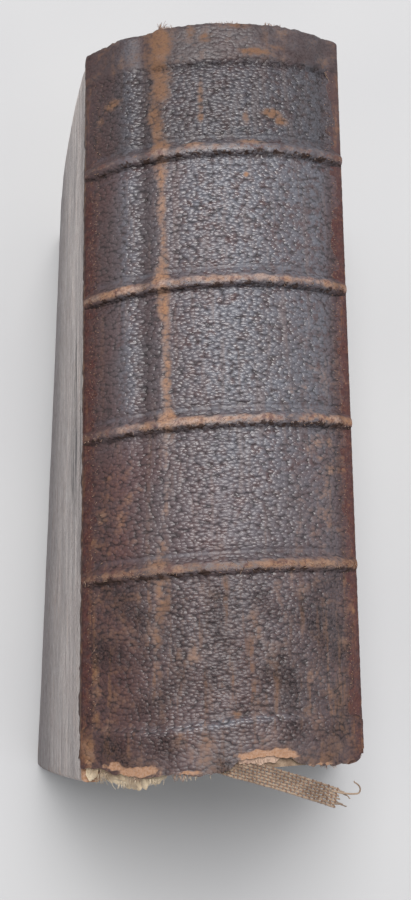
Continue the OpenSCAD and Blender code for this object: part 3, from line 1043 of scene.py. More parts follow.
class BREVIARY_OT_spine_hide(bpy.types.Operator):
    """The leather over the spine, moulded over the bands, with its head cap and torn tail"""

    bl_idname = "breviary.spine_hide"
    bl_label = "Spine hide"

    columns = 126
    rows = 352
    thickness = 0.0008
    joint_gap = 0.0002
    cap_round = 0.0012
    cap_drop = 0.0016
    tail_zone = 0.011

    def execute(self, context):
        book = sizes()
        piece = add_grid("spine_hide", self.columns, self.rows)
        flat = points_of(piece)
        half = book.book_height / 2
        edge_turn = math.acos((book.joint_height + self.joint_gap - spine_centre()) / spine_radius())
        turn = flat[:, 0] * edge_turn
        across = spine_radius() * np.sin(turn)
        straight = 2 * half - self.cap_round
        quarter = self.cap_round * math.pi / 2
        run = (flat[:, 1] + 1) / 2 * (straight + quarter + self.cap_drop)

        # Past the straight part the leather turns over the head and down in front of the endband
        past = np.maximum(run - straight, 0)
        curl = np.minimum(past / self.cap_round, math.pi / 2)
        along = np.minimum(run, straight) - half + self.cap_round * np.sin(curl)
        drop = self.cap_round * (1 - np.cos(curl)) + np.maximum(past - quarter, 0)

        # The torn tail edge, which draws the last rows of the leather in
        ragged = np.stack([across * 1000, np.zeros_like(across), np.zeros_like(across)], axis=1)
        tear = np.interp(across / book.half_width, *zip(*TEAR_LINE)) * book.tear_depth
        tear += 0.00034 * noise_at(ragged, 0.75, 3, 4) + 0.0002 * noise_at(ragged, 2.6, 4)
        tear_end = -half + np.maximum(tear, 0)
        zone_end = -half + self.tail_zone
        share = (zone_end - along) / self.tail_zone
        along = np.where(along < zone_end, zone_end - share * (zone_end - tear_end), along)

        leather = SpineSurface(across, along, drop)
        points = on_spine(turn, along, leather.lift - drop)
        points[:, 1] += np.where(curl > 0.3, noise_at(ragged, 0.9, 8, 4) * 0.0003, 0.0)
        set_points(piece, points)
        set_masks(piece, leather.masks())
        coat(piece, "spine_hide", "torn_leather")
        thicken(piece, self.thickness, torn_material=1)
        soften(piece, 60)
        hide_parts("spine_leather")
        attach(piece, "page_block")
        return {"FINISHED"}


# Sizes of the covers' leather, in metres
COVER_JOINT_GAP = 0.0002
RECESS_RIM = 0.0012
RECESS_DEPTH = 0.00045
COVER_CORNER = 0.004
COVER_EDGE_ROUND = 0.00095
GROOVE_DROP = 0.0042
GROOVE_DEPTH = 0.0003
WORN_CORNER = 0.0026

# How near a point has to lie to a place to count as on it, in metres
TOUCHING = 1e-6
NEAR = 1e-5


def flat_cover(name, half, top):
    """A flat cover with a recess inside its turn-ins, round fore-edge corners and soft edges."""
    depth = sizes().cover_depth
    turn_in = sizes().turn_in

    def in_recess(point):
        """Inside the turn-ins."""
        return abs(point.y) < half - turn_in + NEAR and point.z > turn_in - NEAR

    def at_recess_top(vert):
        """On the inner line that the inset leaves below the joint."""
        inside = vert.co.x > depth - TOUCHING and abs(vert.co.y) < half - turn_in / 2
        return inside and abs(vert.co.z - (top - turn_in)) < NEAR

    def at_corner(edge):
        """One of the two edges at the fore-edge corners."""
        first, second = (vert.co for vert in edge.verts)
        on_floor = first.z < TOUCHING and second.z < TOUCHING
        return on_floor and abs(abs(first.y) - half) < TOUCHING and abs(first.y - second.y) < TOUCHING

    def on_rim(edge):
        """A sharp edge round the outer or the inner face, but not of the recess."""
        first, second = (vert.co for vert in edge.verts)
        if len(edge.link_faces) != 2 or edge.calc_face_angle() <= 0.9:
            return False
        in_plane = abs(first.x - second.x) < TOUCHING
        on_face = all(point.x < TOUCHING or point.x > depth - TOUCHING for point in (first, second))
        of_recess = all(in_recess(point) and point.z < top - NEAR for point in (first, second))
        return in_plane and on_face and not of_recess

    piece = add_slab(name, (0, -half, 0), (depth, half, top))
    choose(piece, "FACE", lambda face: face.normal.x > 0.99)
    bpy.ops.mesh.inset(thickness=turn_in, depth=0)
    choose(piece, "VERT", at_recess_top)
    bpy.ops.transform.translate(value=(0, 0, turn_in - RECESS_RIM))
    choose(piece, "FACE", lambda face: face.normal.x > 0.99 and all(in_recess(v.co) for v in face.verts))
    bpy.ops.mesh.extrude_region_move(TRANSFORM_OT_translate={"value": (-RECESS_DEPTH, 0, 0)})
    choose(piece, "EDGE", at_corner)
    bpy.ops.mesh.bevel(offset=COVER_CORNER, offset_type="OFFSET", segments=6, affect="EDGES")
    choose(piece, "EDGE", on_rim)
    bpy.ops.mesh.bevel(offset=COVER_EDGE_ROUND, offset_type="OFFSET", segments=3, affect="EDGES")
    cut_across(piece, 2, np.linspace(0.001, top - 0.001, 49))
    cut_across(piece, 1, np.linspace(-half + 0.001, half - 0.001, 57))
    return piece


def cover_wear(side, flat, half, top):
    """Worn rims and corners, a red-brown joint, a painted cool sheen, painted shade in the groove below
    the joint, and a sheen that grows with height. The back cover is also cracked under its joint and bared
    at its tail corner."""
    along, height = flat[:, 1], flat[:, 2]
    spots = flat * 1000
    patch = noise_at(spots, 0.3, 31 + side, 3)
    to_rim = np.minimum(half - np.abs(along), height)
    to_corner = np.hypot(half - np.abs(along), height)
    joint = smooth_step(height, top - 0.006, top - 0.001)
    masks = {
        "rub": np.maximum.reduce([
            smooth_step(-to_rim, -0.0022, 0.0002) * (0.50 + 0.45 * patch),
            smooth_step(-to_corner, -0.010, -0.003) * (0.62 + 0.5 * patch),
            joint * (0.20 + 0.3 * patch)]),
        "red": np.maximum(0.55 * joint, 0.25 + 0.3 * patch),
        "cool": 0.45 + 0.3 * noise_at(spots, 0.05, 41),
        "smooth": np.maximum(0.2 * joint, smooth_step(-to_rim, -0.002, 0) * 0.7),
        # Painted shade in the groove below the joint
        "painted_shade_and_dirt": 0.55 * bump_at(height, top - GROOVE_DROP, 0.0005),
        "scuff": 0.35 + 0.3 * patch,
        "sheen_by_height": 0.10 + 0.90 * smooth_step(height, 0.025, top),
    }
    if side < 0:
        bared = smooth_step(height, top - 0.0016, top - 0.0004)
        bared *= smooth_step(-along, half - 0.009, half - 0.004)
        masks["torn"] = bared * (0.85 + 0.4 * patch)
        masks["hinge"] = 2.0 * bump_at(height, top - 0.0105, 0.0060) * bump_at(along, -0.002, 0.020)
    return masks


def round_corner(inward, along, height, tail, top):
    """Draws the outer tail edge of a cover in to a round corner towards the joint."""
    radius = 0.0001 + WORN_CORNER * smooth_step(height, top - 0.035, top - 0.006)
    past_tail = (tail + radius - along) / radius
    past_face = (radius - inward) / radius
    in_corner = (past_tail > 0) & (past_face > 0)
    shrink = 1 / np.maximum(np.hypot(past_tail, past_face), 1)
    along = np.where(in_corner, tail + radius - past_tail * shrink * radius, along)
    inward = np.where(in_corner, radius - past_face * shrink * radius, inward)
    return inward, along


def cover_hide(side, name, node, body):
    """The leather round one cover, bent to the cover's form and worn."""
    half = sizes().book_height / 2
    top = sizes().joint_height - COVER_JOINT_GAP
    piece = flat_cover(name, half, top)
    flat = points_of(piece)
    inward, along, height = flat[:, 0], flat[:, 1], flat[:, 2]
    set_masks(piece, cover_wear(side, flat, half, top))
    spots = flat * 1000
    dent = 0.00016 * noise_at(spots, 0.045, 51, 3) + 0.00004 * noise_at(spots, 0.35, 52, 2)
    groove = GROOVE_DEPTH * bump_at(height, top - GROOVE_DROP, 0.0009)
    outer = smooth_step(-inward, -0.0006, 0)
    inward = inward + outer * (np.abs(dent) + groove)
    if side > 0:
        inward, along = round_corner(inward, along, height, -half, top)
    set_points(piece, in_cover(side, inward, along, height))
    outward(piece)
    soften(piece, 50)
    coat(piece, "cover_hide")
    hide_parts(node)
    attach(piece, body)


class BREVIARY_OT_cover_hides(bpy.types.Operator):
    """The leather round both covers"""

    bl_idname = "breviary.cover_hides"
    bl_label = "Cover hides"

    def execute(self, context):
        cover_hide(1, "front_cover_hide", "front_cover_leather", "front_cover")
        cover_hide(-1, "back_cover_hide", "back_cover_leather", "back_cover")
        return {"FINISHED"}


def cover_slab(side, name, depths, margin, bottom, top, corner):
    """One flat layer of a cover between two depths, with round fore-edge corners, bent to the cover's
    form."""
    half = sizes().book_height / 2 - margin
    outer, inner = depths

    def at_corner(edge):
        """One of the two edges at the fore-edge corners."""
        first, second = (vert.co for vert in edge.verts)
        on_floor = max(first.z, second.z) < bottom + TOUCHING
        return on_floor and abs(first.y - second.y) < TOUCHING

    piece = add_slab(name, (outer, -half, bottom), (inner, half, top))
    choose(piece, "EDGE", at_corner)
    bpy.ops.mesh.bevel(offset=corner, offset_type="OFFSET", segments=5, affect="EDGES")
    cut_across(piece, 2, np.linspace(bottom + 0.004, top - 0.004, 21))
    cut_across(piece, 1, np.linspace(-half + 0.004, half - 0.004, 25))
    flat = points_of(piece)
    rim = np.minimum(half - np.abs(flat[:, 1]), flat[:, 2] - bottom)
    set_masks(piece, {"edge": smooth_step(-rim, -0.009, 0) * (0.75 + 0.4 * noise_at(flat, 160, 61))})
    set_points(piece, in_cover(side, flat[:, 0], flat[:, 1], flat[:, 2]))
    outward(piece)
    soften(piece, 40)
    return piece


class BREVIARY_OT_boards(bpy.types.Operator):
    """The millboards inside the covers"""

    bl_idname = "breviary.boards"
    bl_label = "Boards"

    depths = (0.0012, 0.0031)
    margin = 0.0012
    joint_gap = 0.0014
    corner = 0.003

    def execute(self, context):
        top = sizes().joint_height - self.joint_gap
        for side, word in SIDES:
            piece = cover_slab(side, f"{word}_millboard", self.depths, self.margin, self.margin, top,
                               self.corner)
            coat(piece, "millboard")
            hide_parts(f"{word}_board")
            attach(piece, f"{word}_cover")
        return {"FINISHED"}


class BREVIARY_OT_endpapers(bpy.types.Operator):
    """The paper pasted inside each cover, and the free endpaper beside the pages"""

    bl_idname = "breviary.endpapers"
    bl_label = "Endpapers"

    joint_gap = 0.001
    pasted_rise = 0.00005
    pasted_depth = 0.00042
    pasted_overlap = 0.0006
    pasted_corner = 0.002
    leaf_depths = (0.00402, 0.00428)
    leaf_foot = 0.0021
    leaf_past_joint = 0.0006
    worn_foot = 0.00035

    def execute(self, context):
        book = sizes()
        top = book.joint_height - self.joint_gap
        depths = (book.cover_depth - self.pasted_depth, book.cover_depth - self.pasted_rise)
        margin = book.turn_in - self.pasted_overlap
        for side, word in SIDES:
            pasted = cover_slab(side, f"{word}_pasted_paper", depths, margin, margin, top,
                                self.pasted_corner)
            coat(pasted, "endpaper")
            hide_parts(f"{word}_pastedown")
            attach(pasted, f"{word}_cover")
            self.free_leaf(side, word)
        return {"FINISHED"}

    def free_leaf(self, side, word):
        """One free endpaper, racked as the pages are."""
        book = sizes()
        half = book.book_height / 2 - book.end_square
        low = self.leaf_foot
        high = book.joint_height + self.leaf_past_joint
        outer, inner = self.leaf_depths
        piece = add_slab(f"{word}_free_leaf", (outer, -half, low), (inner, half, high))
        cut_across(piece, 2, np.linspace(low + 0.003, high - 0.003, 25))
        cut_across(piece, 1, np.linspace(-half + 0.003, half - 0.003, 29))
        flat = points_of(piece)
        rim = np.minimum(half - np.abs(flat[:, 1]), flat[:, 2] - low)
        set_masks(piece, {"edge": smooth_step(-rim, -0.008, 0) * (0.8 + 0.4 * noise_at(flat, 150, 63))})
        nibble = self.worn_foot * np.abs(noise_at(flat, 220, 64 + side, 3))
        at_foot = smooth_step(-(flat[:, 2] - low), -0.002, 0)
        bent = in_cover(side, flat[:, 0], flat[:, 1], flat[:, 2] + nibble * at_foot)
        lean = (bent[:, 0] - book.middle_x) - side * book.half_width
        bent[:, 1] += lean * math.tan(book.rack)
        set_points(piece, bent)
        outward(piece)
        soften(piece, 40)
        coat(piece, "endpaper")
        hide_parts(f"{word}_flyleaf")
        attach(piece, "page_block")


class BREVIARY_OT_pages(bpy.types.Operator):
    """The sewn block of pages, with a round back, a hollow fore-edge and uneven sheets"""

    bl_idname = "breviary.pages"
    bl_label = "Pages"

    cuts = 76
    page_face = 0.0043
    back_gap = 0.0017
    foot = 0.002
    fore_hollow = 0.007
    section_step = 0.00028
    sheet_step = 0.00016

    def execute(self, context):
        book = sizes()
        piece = add_slab("pages", (0, -1, 0), (1, 1, 1))
        edit_all(piece)
        bpy.ops.mesh.subdivide(number_cuts=self.cuts)
        close_edit()
        flat = points_of(piece)
        sheet, end, up = flat[:, 0], flat[:, 1], flat[:, 2]
        along = end * (book.book_height / 2 - book.end_square)

        # Each sheet runs from the hollow fore-edge up to the round back
        at_joint = self.across(sheet, np.full_like(sheet, book.joint_height), along)
        crown = spine_centre() + np.sqrt((spine_radius() - self.back_gap) ** 2 - at_joint ** 2)
        foot = self.foot + self.fore_hollow * (1 - (2 * sheet - 1) ** 2)
        height = foot + (crown - foot) * up
        across = self.across(sheet, height, along)

        # The sheets end unevenly, by sewn section and by single sheet
        sections = np.stack([sheet * 21, np.zeros_like(sheet), np.zeros_like(sheet)], axis=1)
        singles = np.stack([sheet * 160, up * 6, end * 3], axis=1)
        uneven = self.section_step * noise_at(sections, 1.0, 71, 2)
        uneven = np.abs(uneven + self.sheet_step * noise_at(singles, 1.0, 72))
        height = height + smooth_step(-up, -0.06, 0.0) * uneven * 1.6
        along = along - np.sign(end) * np.where(np.abs(end) > 0.999, uneven, 0.0)
        racked = along + across * math.tan(book.rack)
        set_points(piece, np.stack([across + book.middle_x, racked + book.middle_y, height], axis=1))
        browned = np.maximum.reduce([
            0.6 * smooth_step(-up, -0.10, 0.0), 0.55 * smooth_step(end, 0.9, 1.0),
            0.35 * smooth_step(np.abs(end), 0.97, 1.0)])
        set_masks(piece, {"sheet": sheet, "edge": browned})
        outward(piece)
        soften(piece, 40)
        coat(piece, "page_edges")
        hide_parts("text_block")
        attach(piece, "page_block")
        return {"FINISHED"}

    def across(self, sheet, height, along):
        """Places of the sheets between the two free endpapers, from 0 at the back to 1 at the front."""
        back, back_splay = cover_face(-1, height, along)
        front, front_splay = cover_face(1, height, along)
        left = -(back - self.page_face / np.cos(back_splay))
        right = front - self.page_face / np.cos(front_splay)
        return left + sheet * (right - left)


class BREVIARY_OT_joint_leather(bpy.types.Operator):
    """The worn leather that bends at each joint, between the spine and the cover"""

    bl_idname = "breviary.joint_leather"
    bl_label = "Joint leather"

    spine_reach = 0.0026
    cover_reach = 0.0040
    head_gap = 0.0004
    thickness = 0.0004
    rise = 0.00034
    sink = 0.00018

    # Bare length at the tail in metres, then rubbing, dryness, and painted shade with some dirt, from 0 to
    # 1
    wear = {
        "front": {"tail_gap": 0.0020, "rub": 0.55, "red": 0.85, "shade_and_dirt": 0.14},
        "back": {"tail_gap": 0.0042, "rub": 0.40, "red": 1.0, "shade_and_dirt": 0.48},
    }

    def execute(self, context):
        for side, word in SIDES:
            self.strip(side, word)
        return {"FINISHED"}

    def strip(self, side, word):
        """One strip of leather, from the spine at part -1 over the joint to the cover at part 1."""
        book = sizes()
        piece = add_grid(f"{word}_joint_leather", 15, 300)
        flat = points_of(piece)
        part = flat[:, 0]
        low = -book.book_height / 2 + self.wear[word]["tail_gap"]
        high = book.book_height / 2 - self.head_gap
        along = low + (flat[:, 1] + 1) / 2 * (high - low)
        run = np.stack([along * 1000, part * 2, np.zeros_like(part)], axis=1)
        edge = np.stack([along * 1000, np.sign(part) * 9, np.zeros_like(part)], axis=1)
        ragged = noise_at(edge, 0.4, 81 + side, 4)
        on_back = np.maximum(-part, 0) * self.spine_reach * (1 + 0.45 * ragged)
        on_cover = np.maximum(part, 0) * self.cover_reach * (1 + 0.35 * ragged)
        rise = self.rise * (1 - np.abs(part) ** 1.6) - self.sink + 0.00006 * noise_at(run, 1.1, 83, 3)
        turn = side * (math.asin(book.half_width / spine_radius()) - on_back / spine_radius())
        upper = on_spine(turn, along, rise)
        lower = in_cover(side, -rise, along, book.joint_height - on_cover)
        share = smooth_step(part, -0.06, 0.06)[:, None]
        set_points(piece, upper * (1 - share) + lower * share)
        set_masks(piece, self.masks(side, self.wear[word], part, along, noise_at(run, 0.9, 85, 3)))
        middle = piece.data.polygons[len(piece.data.polygons) // 2]
        if middle.normal.x * side < 0:
            flip(piece)
        coat(piece, "cover_hide", "torn_leather")
        thicken(piece, self.thickness, torn_material=1)
        soften(piece, 60)
        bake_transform(piece)

    def masks(self, side, wear, part, along, patch):
        """The wear of one strip, with painted shade in its folds. The back one is rubbed to a pale line
        below its joint.
        """
        rim = 0.55 * bump_at(part, 0.05, 0.10)
        pale = np.zeros_like(part)
        if side < 0:
            pale = bump_at(part, 0.30, 0.22)
            rim = np.maximum(rim, 0.75 * pale)
        # Painted shade in the folds of the strip
        fold_lines = 0.55 * bump_at(part, 0.42, 0.1) + 0.3 * bump_at(part, -0.75, 0.15)
        return {
            "rub": 0.02 + wear["rub"] * patch + rim, "pale": pale,
            "red": wear["red"] * (1 - 0.55 * smooth_step(along, 0.030, 0.055)),
            "painted_shade_and_dirt": np.maximum(fold_lines, wear["shade_and_dirt"] - 0.4 * patch),
            "cool": 0.1, "smooth": 0.6, "scuff": 0.7}


# The loose tail band: where it leaves the book, its length, slope and the width of its solid, in metres
LOOSE_START = 0.003
LOOSE_LENGTH = 0.0175
LOOSE_SLOPE = math.radians(16)
LOOSE_WIDTH = 0.0042


def strip_point(share, across, lift):
    """A point of the frame on the loose tail band: share runs along it, across over its width."""
    book = sizes()
    half = book.book_height / 2
    tuck = max(1 - share, 0) ** 2
    x = LOOSE_START + LOOSE_LENGTH * share
    hang = LOOSE_LENGTH * math.tan(LOOSE_SLOPE) * (0.6 * share * abs(share) + 0.4 * share)
    y = book.end_square / 4 - half - LOOSE_WIDTH / 4 - hang
    y += 0.0016 * tuck - 0.0004
    radius = spine_radius() - 0.0011 + 0.0018 * share ** 2 * (share > 0) - 0.0003 * tuck + lift
    turn = math.asin(x / spine_radius())
    lean = -LOOSE_SLOPE * (0.4 + 0.8 * share)
    point = Vector((
        radius * math.sin(turn) - across * math.sin(lean) * math.cos(turn),
        y + across * math.cos(lean),
        spine_centre() + radius * math.cos(turn) + across * math.sin(lean) * math.sin(turn)))
    point.y += half
    point = Matrix.Rotation(book.rack, 3, "Z") @ point
    point.y -= half
    return (point.x + book.middle_x, point.y + book.middle_y, point.z)


class BREVIARY_OT_tail_band(bpy.types.Operator):
    """The woven band at the tail, torn loose, with its frayed end"""

    bl_idname = "breviary.tail_band"
    bl_label = "Tail band"

    width = 0.0034
    long_threads = 7
    cross_threads = 36
    long_radius = 0.00023
    cross_radius = 0.00021
    wave = 0.00020
    rise = 0.0002
    hidden_share = 0.42
    fray_start = 0.93

    def execute(self, context):
        crossing = [self.cross_thread(column) for column in range(self.cross_threads)]
        piece = add_threads("tail_band_cross_threads", crossing, self.cross_radius, 1)
        coat(piece, "cross_thread")
        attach(piece, "page_block")
        paths = [self.long_thread(row) for row in range(self.long_threads)]
        piece = add_threads("tail_band_weave", paths, self.long_radius, 1)
        coat(piece, "band_thread")
        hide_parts("tail_band")
        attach(piece, "page_block")
        return {"FINISHED"}

    def long_thread(self, row):
        """One thread along the band, which goes over and under and frays at its end."""
        across = (row / (self.long_threads - 1) - 0.5) * self.width * 0.94
        last = 1.0 + 0.10 * noise.noise(Vector((row * 1.7, 3.1, 0))) + 0.06 * ((row * 7) % 4 - 1) / 2
        points, shares = [], []
        steps = 3 * self.cross_threads
        for i in range(steps + 1):
            share = -self.hidden_share + (last + self.hidden_share) * i / steps
            phase = share * self.cross_threads * math.pi + row * math.pi
            fray = max(share - self.fray_start, 0) * 14
            drift = fray * 0.00045 * noise.noise(Vector((row * 2.3, share * 9, 1.5)))
            wobble = 0.00006 * noise.noise(Vector((row * 1.3, share * 22, 4.4)))
            stray = fray * 0.0004 * noise.noise(Vector((row * 3.1, 7.7, share * 6)))
            lift = self.wave * math.sin(phase) + stray
            points.append(strip_point(share, across + drift + wobble, lift + self.rise))
            shares.append(1.0 - 0.5 * min(fray, 1.0))
        return points, shares

    def cross_thread(self, column):
        """One thread over the width of the band."""
        share = -0.40 + 1.35 * column / (self.cross_threads - 1)
        points = []
        steps = 4 * self.long_threads
        for i in range(steps + 1):
            part = i / steps - 0.5
            phase = (part + 0.5) * (self.long_threads - 1) / 0.94 * math.pi + column * math.pi
            lift = -self.wave * math.sin(phase + math.pi / 2)
            lean = 0.006 * noise.noise(Vector((column * 1.9, part * 3, 8.8)))
            points.append(strip_point(share + lean, part * self.width * 1.04, lift + self.rise))
        return points, [1.0] * len(points)


class BREVIARY_OT_head_band(bpy.types.Operator):
    """The rolled endband at the head, wound with thread"""

    bl_idname = "breviary.head_band"
    bl_label = "Head band"

    depth = 0.0027
    from_head = 0.0019
    radius = 0.00088
    thread = 0.00013
    winds = 150

    def execute(self, context):
        book = sizes()
        piece = add_grid("head_band_roll", 420, 14)
        flat = points_of(piece)
        limit = math.acos(
            (book.joint_height + self.depth - spine_centre()) / (spine_radius() - self.depth))
        turn = flat[:, 0] * limit
        around = flat[:, 1] * math.pi
        radius = self.radius + self.thread * np.abs(np.sin(flat[:, 0] * self.winds + around * 0.5))
        lift = -self.depth + radius * np.cos(around)
        along = book.book_height / 2 - self.from_head + radius * np.sin(around)
        set_points(piece, on_spine(turn, along, lift))

        # Closes the roll along its seam and at both ends
        edit_all(piece)
        bpy.ops.mesh.remove_doubles(threshold=0.000002)
        bpy.ops.mesh.select_all(action="DESELECT")
        bpy.ops.mesh.select_non_manifold()
        bpy.ops.mesh.fill_holes(sides=0)
        close_edit()
        outward(piece)
        soften(piece, 60)
        coat(piece, "band_thread")
        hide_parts("head_band")
        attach(piece, "page_block")
        return {"FINISHED"}


# Tufts of torn leather in millimetres: place across, place along, length, spread; then how many
# fibres, and which way they point, 1 to the head and -1 to the tail
FIBRE_TUFTS = [
    (-10.6, 74.0, 2.5, 1.2, 20, 1), (-9.0, 74.0, 1.2, 2.4, 14, 1), (12.0, 74.0, 0.9, 5.0, 16, 1),
    (2.0, 74.0, 0.7, 6.0, 14, 1), (-21.0, -71.8, 2.2, 2.5, 16, -1), (-16.0, -73.3, 1.8, 3.5, 20, -1),
    (-8.0, -73.6, 1.6, 3.5, 16, -1), (7.0, -71.6, 1.5, 5.0, 18, -1), (-24.0, -70.6, 2.2, 1.2, 16, -1),
    (20.0, -73.6, 1.0, 3.5, 10, -1),
]
# Tufts of the pale lining, written in the same way
LINING_TUFTS = [
    (-22.5, -73.0, 2.4, 3.0, 20, -1), (-17.5, -74.4, 1.9, 5.0, 24, -1), (-12.5, -74.2, 1.5, 4.0, 14, -1),
    (-5.0, -74.0, 1.0, 5.0, 7, -1),
]


# Steps aside in the noise, one for each thing that varies from fibre to fibre
FOR_REACH = Vector((9, 4, 1))
FOR_SIDE = Vector((3, 8, 5))
FOR_RISE = Vector((6, 2, 7))
FOR_GAP = Vector((4, 1, 8))
FOR_LEAN = Vector((7, 2, 3))


class BREVIARY_OT_loose_fibres(bpy.types.Operator):
    """Fibres of leather and lining along the torn edges, nap on the bands and joints, and the thread
    that curls at the tail band"""

    bl_idname = "breviary.loose_fibres"
    bl_label = "Loose fibres"

    nap_on_bands = (70, 150, 190, 260)
    nap_on_joint = 300
    nap_radius = 0.00006
    fibre_radius = 0.00007
    thread_radius = 0.0002
    thread_steps = 39
    curl_width = 0.0027
    curl_height = 0.0028

    def execute(self, context):
        self.tufts("loose_fibres", FIBRE_TUFTS, "torn_leather", "leather")
        self.tufts("lining_fibres", LINING_TUFTS, "lining_shreds", "cloth")
        self.curled_thread()
        self.nap()
        return {"FINISHED"}

    def nap(self):
        """Short fibres raised on the worn bands and along the joints."""
        paths = []
        for band, (place_y, count) in enumerate(zip(band_places(), self.nap_on_bands)):
            for k in range(count):
                key = Vector((band * 5.3 + 0.7, k * 1.37, 0.4))
                x = -0.0255 + 0.0510 * (k + 0.5) / count + 0.0006 * noise.noise(key)
                gap = -0.0002 + 0.0012 * noise.noise(key + FOR_GAP)
                lift = sizes().band_rise - gap * gap * 330
                paths.append(self.nap_fibre(x, place_y + gap, lift, key, 1.0))
        for side in (-1, 1):
            for k in range(self.nap_on_joint):
                key = Vector((side * 9.1 + 0.2, k * 1.53, 6.4))
                x = side * (0.0243 + 0.0026 * noise.noise(key))
                y = -0.069 + 0.138 * (k + 0.5) / self.nap_on_joint
                paths.append(self.nap_fibre(x, y, 0.0, key, 0.6))
        piece = add_threads("worn_nap", paths, self.nap_radius, 0)
        coat(piece, "worn_nap")
        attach(piece, "page_block")

    def nap_fibre(self, x, y, lift, key, size):
        """One short fibre that leans over."""
        reach = size * (0.00035 + 0.0007 * abs(noise.noise(key + FOR_REACH)))
        lean_x = reach * noise.noise(key + FOR_SIDE) * 1.4
        lean_y = reach * (noise.noise(key + FOR_LEAN) * 1.5 - 0.25)
        points, shares = [], []
        for t in (0, 1 / 3, 2 / 3, 1):
            rise = lift - 0.0001 + 0.0004 * t * (1 - 0.45 * t)
            points.append(spine_spot(x + lean_x * t, y + lean_y * t, rise))
            shares.append(1.0 - 0.55 * t)
        return points, shares

    def tufts(self, name, tufts, finish, slot):
        """Tufts of thin fibres that leave a torn edge."""
        paths = []
        for index, (x, y, length, spread, count, way) in enumerate(tufts):
            for k in range(count):
                key = Vector((index * 3.7 + 0.3, k * 1.91, 2.2))
                start = (x + spread * noise.noise(key)) / 1000
                reach = length * (0.45 + 0.9 * abs(noise.noise(key + FOR_REACH))) / 1000
                side = reach * noise.noise(key + FOR_SIDE)
                rise = 0.0007 * length * noise.noise(key + FOR_RISE)
                points, shares = [], []
                for i in range(9):
                    t = i / 8
                    along = y / 1000 + way * reach * (t - 0.25)
                    points.append(spine_spot(start + side * t * t, along, -0.0004 + rise * t * t))
                    shares.append(1.0 - 0.6 * t)
                paths.append((points, shares))
        piece = add_threads(name, paths, self.fibre_radius, 0)
        coat(piece, finish)
        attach(piece, "page_block")

    def curled_thread(self):
        """A thread that has slipped out of the band's end and curls up."""
        points, shares = [], []
        for i in range(self.thread_steps + 1):
            t = i / self.thread_steps
            bend = 3.6 * t * t
            away = self.curl_width * math.sin(min(bend, 2.6)) * (1 - 0.25 * t)
            up = self.curl_height * (1 - math.cos(bend)) * 0.5
            base = Vector(strip_point(0.90 + 0.16 * min(t * 2, 1), 0.0010, 0.0004))
            points.append((base.x + away * 0.9, base.y + up * 0.95, base.z + 0.0010 * t))
            shares.append(1.0 - 0.4 * t)
        piece = add_threads("curled_thread", [(points, shares)], self.thread_radius, 2)
        coat(piece, "band_thread")
        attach(piece, "page_block")


# Torn scraps in millimetres: place across, place along, width, length, turn in degrees, droop, lift
FLESH_SCRAPS = [
    (-14.6, -72.0, 5.6, 2.9, -6, -0.5, -0.10), (-19.6, -71.4, 3.6, 2.6, 8, -0.9, -0.25),
    (6.8, -71.1, 10.0, 2.8, 4, -0.2, -0.30),
    (-5.5, -72.9, 3.6, 1.5, -4, -0.5, -0.30), (17.0, -73.0, 4.4, 1.2, 3, -0.4, -0.35),
]
# Scraps of the pale lining, written in the same way
PALE_SCRAPS = [
    (-20.2, -71.6, 6.4, 5.2, 14, -1.2, -0.62), (-14.2, -73.0, 7.4, 3.6, -5, -1.5, -0.80),
    (-24.6, -70.2, 2.6, 5.6, 6, 0.4, -0.50),
    (-17.6, -72.6, 7.0, 5.0, 14, -1.5, -0.75), (-23.0, -70.4, 3.4, 4.6, 16, -0.8, -0.70),
    (-12.2, -73.0, 4.2, 2.6, -10, -1.2, -0.80), (-24.6, -69.0, 1.6, 5.4, -2, 0.7, -0.55),
    (-1.0, -73.2, 5.0, 1.6, 0, -0.8, -0.85),
]


class BREVIARY_OT_torn_scraps(bpy.types.Operator):
    """Torn scraps of leather and of pale lining along the tail edge"""

    bl_idname = "breviary.torn_scraps"
    bl_label = "Torn scraps"

    thickness = 0.00028

    def execute(self, context):
        for kind, scraps, finish, slot, first_seed in (
                ("torn_scrap", FLESH_SCRAPS, "torn_leather", "leather", 70),
                ("lining_scrap", PALE_SCRAPS, "lining_shreds", "cloth", 84)):
            for index, values in enumerate(scraps):
                piece = self.scrap(f"{kind}_{index + 1}", first_seed + index, *values)
                coat(piece, finish)
                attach(piece, "page_block")
        return {"FINISHED"}

    def scrap(self, name, seed, x, y, width, length, turn, droop, lift):
        """One torn scrap that leaves the tail edge and droops or curls at its ragged end."""
        piece = add_grid(name, 34, 22)
        flat = points_of(piece)
        side = flat[:, 0]
        run = (1 - flat[:, 1]) / 2
        zero = np.zeros_like(side)
        rim = np.stack([side * width / 2, zero, zero], axis=1)
        flank = np.stack([run * length, np.sign(side) * 5, zero], axis=1)
        wave = np.stack([side * width / 2, run * length, zero], axis=1)
        ragged = 0.84 + 0.30 * noise_at(rim, 0.42, seed, 3) + 0.07 * noise_at(rim, 1.6, seed + 1, 3)
        out = run * length * (1 - 0.30 * np.abs(side) ** 3) * ragged
        reach = side * width / 2 * (1 - 0.22 * run * run + 0.16 * noise_at(flank, 0.8, seed + 3, 3) * run)
        rise = lift + droop * run ** 1.6 + 0.22 * noise_at(wave, 0.55, seed + 5, 3) * (0.25 + run)
        angle = math.radians(turn)
        across = (x + reach * math.cos(angle) + out * math.sin(angle)) / 1000
        along = (y + 1.0 - out * math.cos(angle) + reach * math.sin(angle)) / 1000
        around = np.arcsin(np.clip(across / spine_radius(), -0.70, 0.70))
        set_points(piece, on_spine(around, along, rise / 1000))
        middle = piece.data.polygons[len(piece.data.polygons) // 2]
        if middle.normal.z < 0:
            flip(piece)
        thicken(piece, self.thickness)
        soften(piece, 70)
        return piece


